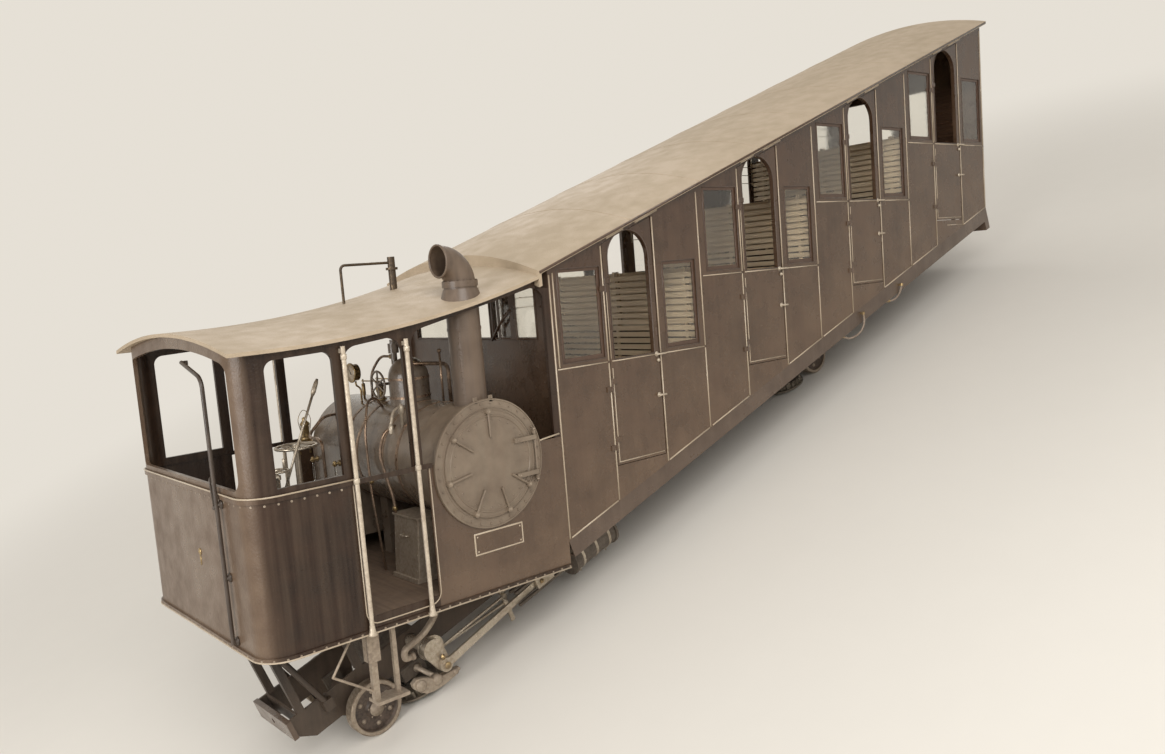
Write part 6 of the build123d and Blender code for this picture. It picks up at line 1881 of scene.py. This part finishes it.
@dataclass
class Engine(Assembly):
    """Nuts, covers, oil cups and cocks of the engine, wheel bosses, lower casting and duct."""

    front: float = -2.7167
    back: float = -2.2227
    cylinder_z: float = 0.33
    cylinder_y: float = 0.66
    radius: float = 0.15
    pins: tuple[Flat, Flat] = ((-4.1034, 0.2635), (-3.9802, 0.4533))
    rod_ends: Flat = (-3.0555, -2.9375)
    pin_face: float = 0.6885
    rod_middle: float = 0.671
    crosshead_face: float = 0.7058
    hub_face: float = 0.4445
    disc_face: float = 0.4115
    tyre_face: float = 0.4448

    def build(self) -> None:
        """Make both sides' fittings, the lower casting and the exhaust duct."""
        for index, side in enumerate(Side):
            self.cylinder(side)
            self.rods(side, self.pins[index], self.rod_ends[index])
            self.wheels(side)
        self.casting()
        self.duct()

    def cylinder(self, side: Side) -> None:
        """Cover nuts, cladding bands, chest nuts and drain cocks.

        Args:
            side: side of the car.
        """
        mesh = Mesher(self.finishes)
        y = side.value * self.cylinder_y
        mesh.nut_circle((self.front, y, self.cylinder_z), DOWNHILL, 0.146, 12, 0.01, 0.012)
        mesh.nut_circle((self.back, y, self.cylinder_z), UPHILL, 0.146, 12, 0.01, 0.012)
        mesh.turned((self.back - 0.001, y, self.cylinder_z), UPHILL,
                    [(0, 0.105), (0.01, 0.1), (0.016, 0.05), (0.018, 0.004)], 40)
        for x in (-2.64, -2.48, -2.32):
            mesh.band((x, y, self.cylinder_z), UPHILL, self.radius, 0.026, 0.003, 56)
        for x in (-2.655, -2.57, -2.4817, -2.394, -2.308):
            for across in (0.588, 0.732):
                mesh.nut((x, side.value * across, 0.485), UP, 0.009, 0.01)
        for x in (-2.63, -2.31):
            mesh.turned((x, y, self.cylinder_z - self.radius + 0.002), DOWN,
                        [(0, 0.014), (0.018, 0.014), (0.02, 0.009), (0.05, 0.008), (0.054, 0.004)], 14)
            mesh.rod((x, y, 0.15), (x + 0.05, y, 0.15), 0.004, 8)
        mesh.turned((-2.4817, y, 0.4845), UP,
                    [(0, 0.018), (0.008, 0.018), (0.012, 0.009), (0.03, 0.009), (0.034, 0.02), (0.06, 0.02),
                     (0.064, 0.006)], 18)
        mesh.piece(f"cylinder_nuts_{side.label}", "rod_steel")

    def rods(self, side: Side, pin: Flat, end_x: float) -> None:
        """Pin caps, oil cups and strap bolts of the connecting rod.

        Args:
            side: side of the car.
            pin: x and z of the crank pin.
            end_x: x of the crosshead pin.
        """
        mesh = Mesher(self.finishes)
        out = (0, side.value, 0)
        mesh.turned((pin[0], side.value * self.pin_face, pin[1]), out,
                    [(0, 0.028), (0.008, 0.028), (0.012, 0.02), (0.013, 0.004)], 20)
        mesh.nut((end_x, side.value * self.crosshead_face, self.cylinder_z), out, 0.018, 0.014)
        for x, z, radius in ((pin[0], pin[1], 0.056), (end_x, self.cylinder_z, 0.042)):
            mesh.turned((x, side.value * self.rod_middle, z + radius - 0.003), UP,
                        [(0, 0.01), (0.01, 0.01), (0.012, 0.017), (0.034, 0.017), (0.038, 0.006),
                         (0.044, 0.006)], 16)
        mesh.piece(f"rod_oil_cups_{side.label}", "brass_fittings")

    def wheels(self, side: Side) -> None:
        """Hub caps and bosses on the wheels of one side.

        Args:
            side: side of the car.
        """
        for body in (Body.LOWER_WHEELS, Body.UPPER_WHEELS):
            low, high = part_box(body.value)
            x, z = (low.x + high.x) / 2, (low.z + high.z) / 2
            mesh = Mesher(self.finishes)
            out = (0, side.value, 0)
            mesh.turned((x, side.value * self.hub_face, z), out,
                        [(0, 0.06), (0.006, 0.06), (0.01, 0.036), (0.02, 0.032), (0.022, 0.004)], 28)
            mesh.nut_circle((x, side.value * self.hub_face, z), out, 0.071, 6, 0.006, 0.006)
            for a, b in on_circle((x, z), 0.132, evenly(6, 0.3)):
                mesh.turned((a, side.value * self.disc_face, b), out,
                            [(0, 0.02), (0.006, 0.019), (0.012, 0.013), (0.016, 0.004)], 18)
            mesh.hoop((x, side.value * self.tyre_face, z), out,
                      [(-0.0008, 0.184), (0.003, 0.186), (0.003, 0.206), (-0.0008, 0.208)], 72)
            mesh.piece(f"{body.name.lower()}_bosses_{side.label}", "pale_castings", body.value)

    def casting(self) -> None:
        """Pale casting below the near crank, on a cross shaft from the gear case."""
        mesh = Mesher(self.finishes)
        outline = [(-4.4, 0.286), (-4.352, 0.3), (-4.292, 0.268), (-4.232, 0.214), (-4.18, 0.176),
                   (-4.06, 0.158), (-3.996, 0.146), (-3.99, 0.118), (-4.06, 0.104), (-4.18, 0.1),
                   (-4.262, 0.112), (-4.322, 0.134), (-4.372, 0.19), (-4.402, 0.24)]
        mesh.prism(outline, -0.625, -0.575, 0.009)
        mesh.turned((-4.34, -0.57, 0.232), NEARWARD,
                    [(0, 0.044), (0.064, 0.044), (0.07, 0.034), (0.076, 0.02), (0.077, 0.004)], 28)
        mesh.turned((-4.04, -0.572, 0.132), NEARWARD,
                    [(0, 0.024), (0.06, 0.024), (0.066, 0.016), (0.067, 0.004)], 24)
        mesh.turned((-4.2, -0.3245, 0.2), NEARWARD,
                    [(0, 0.034), (0.016, 0.034), (0.02, 0.02), (0.252, 0.02)], 24)
        mesh.turned((-4.2, -0.572, 0.176), NEARWARD,
                    [(0, 0.042), (0.058, 0.042), (0.066, 0.03), (0.067, 0.004)], 28)
        mesh.piece("sander_casting", "pale_castings")

    def duct(self) -> None:
        """Curved duct that hangs below the cab's floor beside the engine."""
        mesh = self.drawing()
        mesh.pipe([(-0.93, -0.6, -0.136), (-0.985, -0.6, -0.42), (-1.11, -0.6, -0.545), (-1.29, -0.6, -0.615),
                   (-1.296, -0.6, -0.69), (-1.215, -0.6, -0.682)], 0.026, 0.07, 18)
        mesh.turned((-0.93, -0.6, -0.1355), (-0.05, 0, -1),
                    [(0, 0.052), (0.01, 0.052), (0.014, 0.034), (0.03, 0.03)], 24)
        mesh.turned((-1.228, -0.6, -0.6835), (1, 0, 0.1),
                    [(-0.006, 0.031), (0, 0.033), (0.016, 0.033), (0.018, 0.028)], 24)
        mesh.piece("exhaust_duct", "pale_castings")


@dataclass
class Hoses(Assembly):
    """Two short hoses slung under the near sill."""

    diameter: float = 0.022
    long_length: float = 0.489
    short_length: float = 0.275
    long_route: tuple[Point, ...] = (
        (4.458, 0.026, 0.634), (4.458, 0.022, 0.568), (4.422, 0.014, 0.506), (4.36, 0.004, 0.47),
        (4.286, -0.006, 0.462), (4.212, -0.014, 0.472), (4.146, -0.02, 0.498), (4.1, -0.024, 0.54),
    )
    short_route: tuple[Point, ...] = (
        (5.258, 0.026, 0.61), (5.225, 0.016, 0.553), (5.163, 0.004, 0.517), (5.091, -0.008, 0.51),
        (5.03, -0.016, 0.532),
    )

    def build(self) -> None:
        """Lay both hoses."""
        self.lay("hose_long_run", "hose_long", self.long_route, self.long_length)
        self.lay("hose_short_run", "hose_short", self.short_route, self.short_length)

    def lay(self, name: str, node: str, route: tuple[Point, ...], length: float) -> None:
        """Lay one hose along its route.

        Args:
            name: the piece's name.
            node: node that it replaces.
            route: along the chassis from the body's foot, out from the sill's face, and height.
            length: real length of the hose.
        """
        curve = bpy.data.curves.new(name, "CURVE")
        curve.dimensions = "3D"
        spline = curve.splines.new("NURBS")
        spline.points.add(len(route) - 1)
        places = [(self.plan.foot + x, -self.plan.half_width - out, z) for x, out, z in route]
        for point, place in zip(spline.points, places):
            point.co = (*place, 1.0)
        spline.order_u = 3
        spline.use_endpoint_u = True
        curve.resolution_u = 16
        curve.bevel_depth = self.diameter / 2
        curve.bevel_resolution = 6
        curve.use_fill_caps = True
        piece = add_object(name, curve)
        self.finishes.dress(piece, "hose_canvas")
        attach(piece, Body.CAR.value)
        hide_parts(node)
        LOG.info("piece %s: hose of %.3f m", name, length)


# Studio


@dataclass(frozen=True)
class Studio:
    """Pale floor, soft lights, and the camera at the photograph's place."""

    plan: CarPlan
    camera_hill: Point = (-4.7555, -5.9442, 0.7538)
    waist: float = 1.372
    near_face: float = 1.1
    yaw: float = math.radians(49.749)
    pitch: float = math.radians(6.114)
    roll: float = math.radians(-4.617)
    lens: float = 30.08
    sensor: float = 36.0
    pale: Point = (0.79, 0.745, 0.67)
    fade: Flat = (7.0, 15.0)

    def build(self) -> None:
        """Make the floor, the world, the lights and the camera."""
        self.floor()
        self.world()
        self.lights()
        self.camera()

    def turn(self, vector: Vector) -> Vector:
        """Turn a direction from level ground to the chassis frame."""
        return Matrix.Rotation(self.plan.lean, 3, "Y") @ vector

    def camera(self) -> None:
        """Camera with the photograph's place, angle and lens."""
        x, y, z = self.camera_hill
        place = self.plan.point(x, y - self.near_face, z + self.waist)
        forward = Vector((math.cos(self.pitch) * math.cos(self.yaw),
                          math.cos(self.pitch) * math.sin(self.yaw), -math.sin(self.pitch)))
        level = Vector((math.sin(self.yaw), -math.cos(self.yaw), 0))
        raised = level.cross(forward)
        right = level * math.cos(self.roll) + raised * math.sin(self.roll)
        upward = raised * math.cos(self.roll) - level * math.sin(self.roll)
        axes = [self.turn(right), self.turn(upward), self.turn(-forward)]
        turn = Matrix(axes).transposed().to_4x4()
        data = bpy.data.cameras.new("camera")
        data.lens = self.lens
        data.sensor_width = self.sensor
        data.sensor_fit = "HORIZONTAL"
        data.clip_end = 400.0
        bpy.context.scene.camera = add_object("camera", data, Matrix.Translation(place) @ turn)
        LOG.info("camera at %s", tuple(round(value, 3) for value in place))

    def floor(self) -> None:
        """Wide pale floor under the wheels."""
        mesh = bmesh.new()
        bmesh.ops.create_grid(mesh, x_segments=8, y_segments=8, size=120.0)
        data = bpy.data.meshes.new("floor")
        mesh.to_mesh(data)
        mesh.free()
        floor = add_object("floor", data)
        maker = MaterialMaker("pale_floor")
        patches = maker.effect("blotches", Size=0.4, Fine_Size=3.0, Contrast=0.8)
        maker.feed("Base Color", maker.mix(patches, self.pale, tuple(value * 0.97 for value in self.pale)))
        maker.feed("Roughness", 0.9)
        self.blend_far(maker)
        floor.data.materials.append(maker.material)

    def blend_far(self, maker: MaterialMaker) -> None:
        """Let the floor pass into the background far from the car.

        Args:
            maker: the floor's material.
        """
        place = maker.node("ShaderNodeTexCoord").outputs["Object"]
        reach = maker.node("ShaderNodeVectorMath", {"operation": "LENGTH"}, in_0=place).outputs["Value"]
        far = maker.node("ShaderNodeMapRange", {"interpolation_type": "SMOOTHSTEP"}, Value=reach,
                         From_Min=self.fade[0], From_Max=self.fade[1])
        seen = self.seen(maker.tree)
        share = maker.node("ShaderNodeMath", {"operation": "MULTIPLY"}, in_0=far.outputs["Result"], in_1=seen)
        glow = maker.node("ShaderNodeEmission", Color=(*self.pale, 1.0), Strength=1.0)
        maker.blend(share.outputs[0], glow.outputs[0])

    def seen(self, tree: NodeTree) -> Socket:
        """Tell rays from the camera, mirrors and glass from those that carry light.

        Args:
            tree: the tree that gets the nodes.

        Returns:
            The socket of a factor that is 1 for the first kind.
        """
        path = add_node(tree, "ShaderNodeLightPath")
        first = add_node(tree, "ShaderNodeMath", {"operation": "MAXIMUM"}, in_0=path.outputs["Is Camera Ray"],
                         in_1=path.outputs["Is Glossy Ray"])
        both = add_node(tree, "ShaderNodeMath", {"operation": "MAXIMUM"}, in_0=first.outputs[0],
                        in_1=path.outputs["Is Transmission Ray"])
        return both.outputs[0]

    def world(self) -> None:
        """Pale surroundings, plainer and dimmer as light than as background."""
        world = bpy.data.worlds.new("studio_world")
        bpy.context.scene.world = world
        world.use_nodes = True
        tree = world.node_tree
        tree.nodes.clear()
        light = add_node(tree, "ShaderNodeBackground", Color=(1.0, 0.98, 0.95, 1.0), Strength=0.5)
        shown = add_node(tree, "ShaderNodeBackground", Color=(*self.pale, 1.0), Strength=1.0)
        choice = add_node(tree, "ShaderNodeMixShader", Fac=self.seen(tree), in_1=light.outputs[0],
                          in_2=shown.outputs[0])
        add_node(tree, "ShaderNodeOutputWorld", Surface=choice.outputs[0])

    def lights(self) -> None:
        """Large soft lamps: key from the near side, fill from the front, one behind."""
        lamps = (
            ("key", (-4.0, -11.0, 10.0), (-0.5, 0.0, 1.2), 8.0, 1050.0),
            ("fill", (-16.0, -3.0, 8.0), (-2.5, 0.0, 1.5), 7.0, 900.0),
            ("back", (6.0, 10.0, 10.0), (0.0, 0.0, 2.0), 8.0, 560.0),
        )
        for name, place, target, size, power in lamps:
            data = bpy.data.lights.new(name, "AREA")
            data.size = size
            data.energy = power
            aim = (Vector(target) - Vector(place)).to_track_quat("-Z", "Y")
            add_object(name, data, Matrix.Translation(place) @ aim.to_matrix().to_4x4())


def dress_nodes(finishes: Finishes) -> None:
    """Give every node of the frame its finish.

    Args:
        finishes: all finishes.
    """
    named = {name: finish for finish, names in FINISHED_NODES.items() for name in names.split()}
    for name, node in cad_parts.items():
        finish = named.get(name, "body_brown_paint")
        finishes.dress(node, finish)
        LOG.info("node %s: %s", name, finish)


def main() -> None:
    """Dress the frame, add the pieces and light the scene."""
    logging.basicConfig(level=logging.INFO, format="%(message)s")
    bpy.context.scene.view_settings.view_transform = "Standard"
    low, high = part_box("side_sills")
    plan = CarPlan(foot=low.x, sill_top=high.z, half_width=high.y)
    axles = [sum(corner.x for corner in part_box(body.value)) / 2 for body in (Body.LOWER_WHEELS,
                                                                             Body.UPPER_WHEELS)]
    Studio(plan).build()
    finishes = Finishes(axles)
    dress_nodes(finishes)
    Hoses(plan, finishes).build()
    for assembly in (PassengerBody, DriverCab, BoilerEnd, BoilerFittings, Engine):
        assembly(plan, finishes).build()


if __name__ == "__main__":
    main()
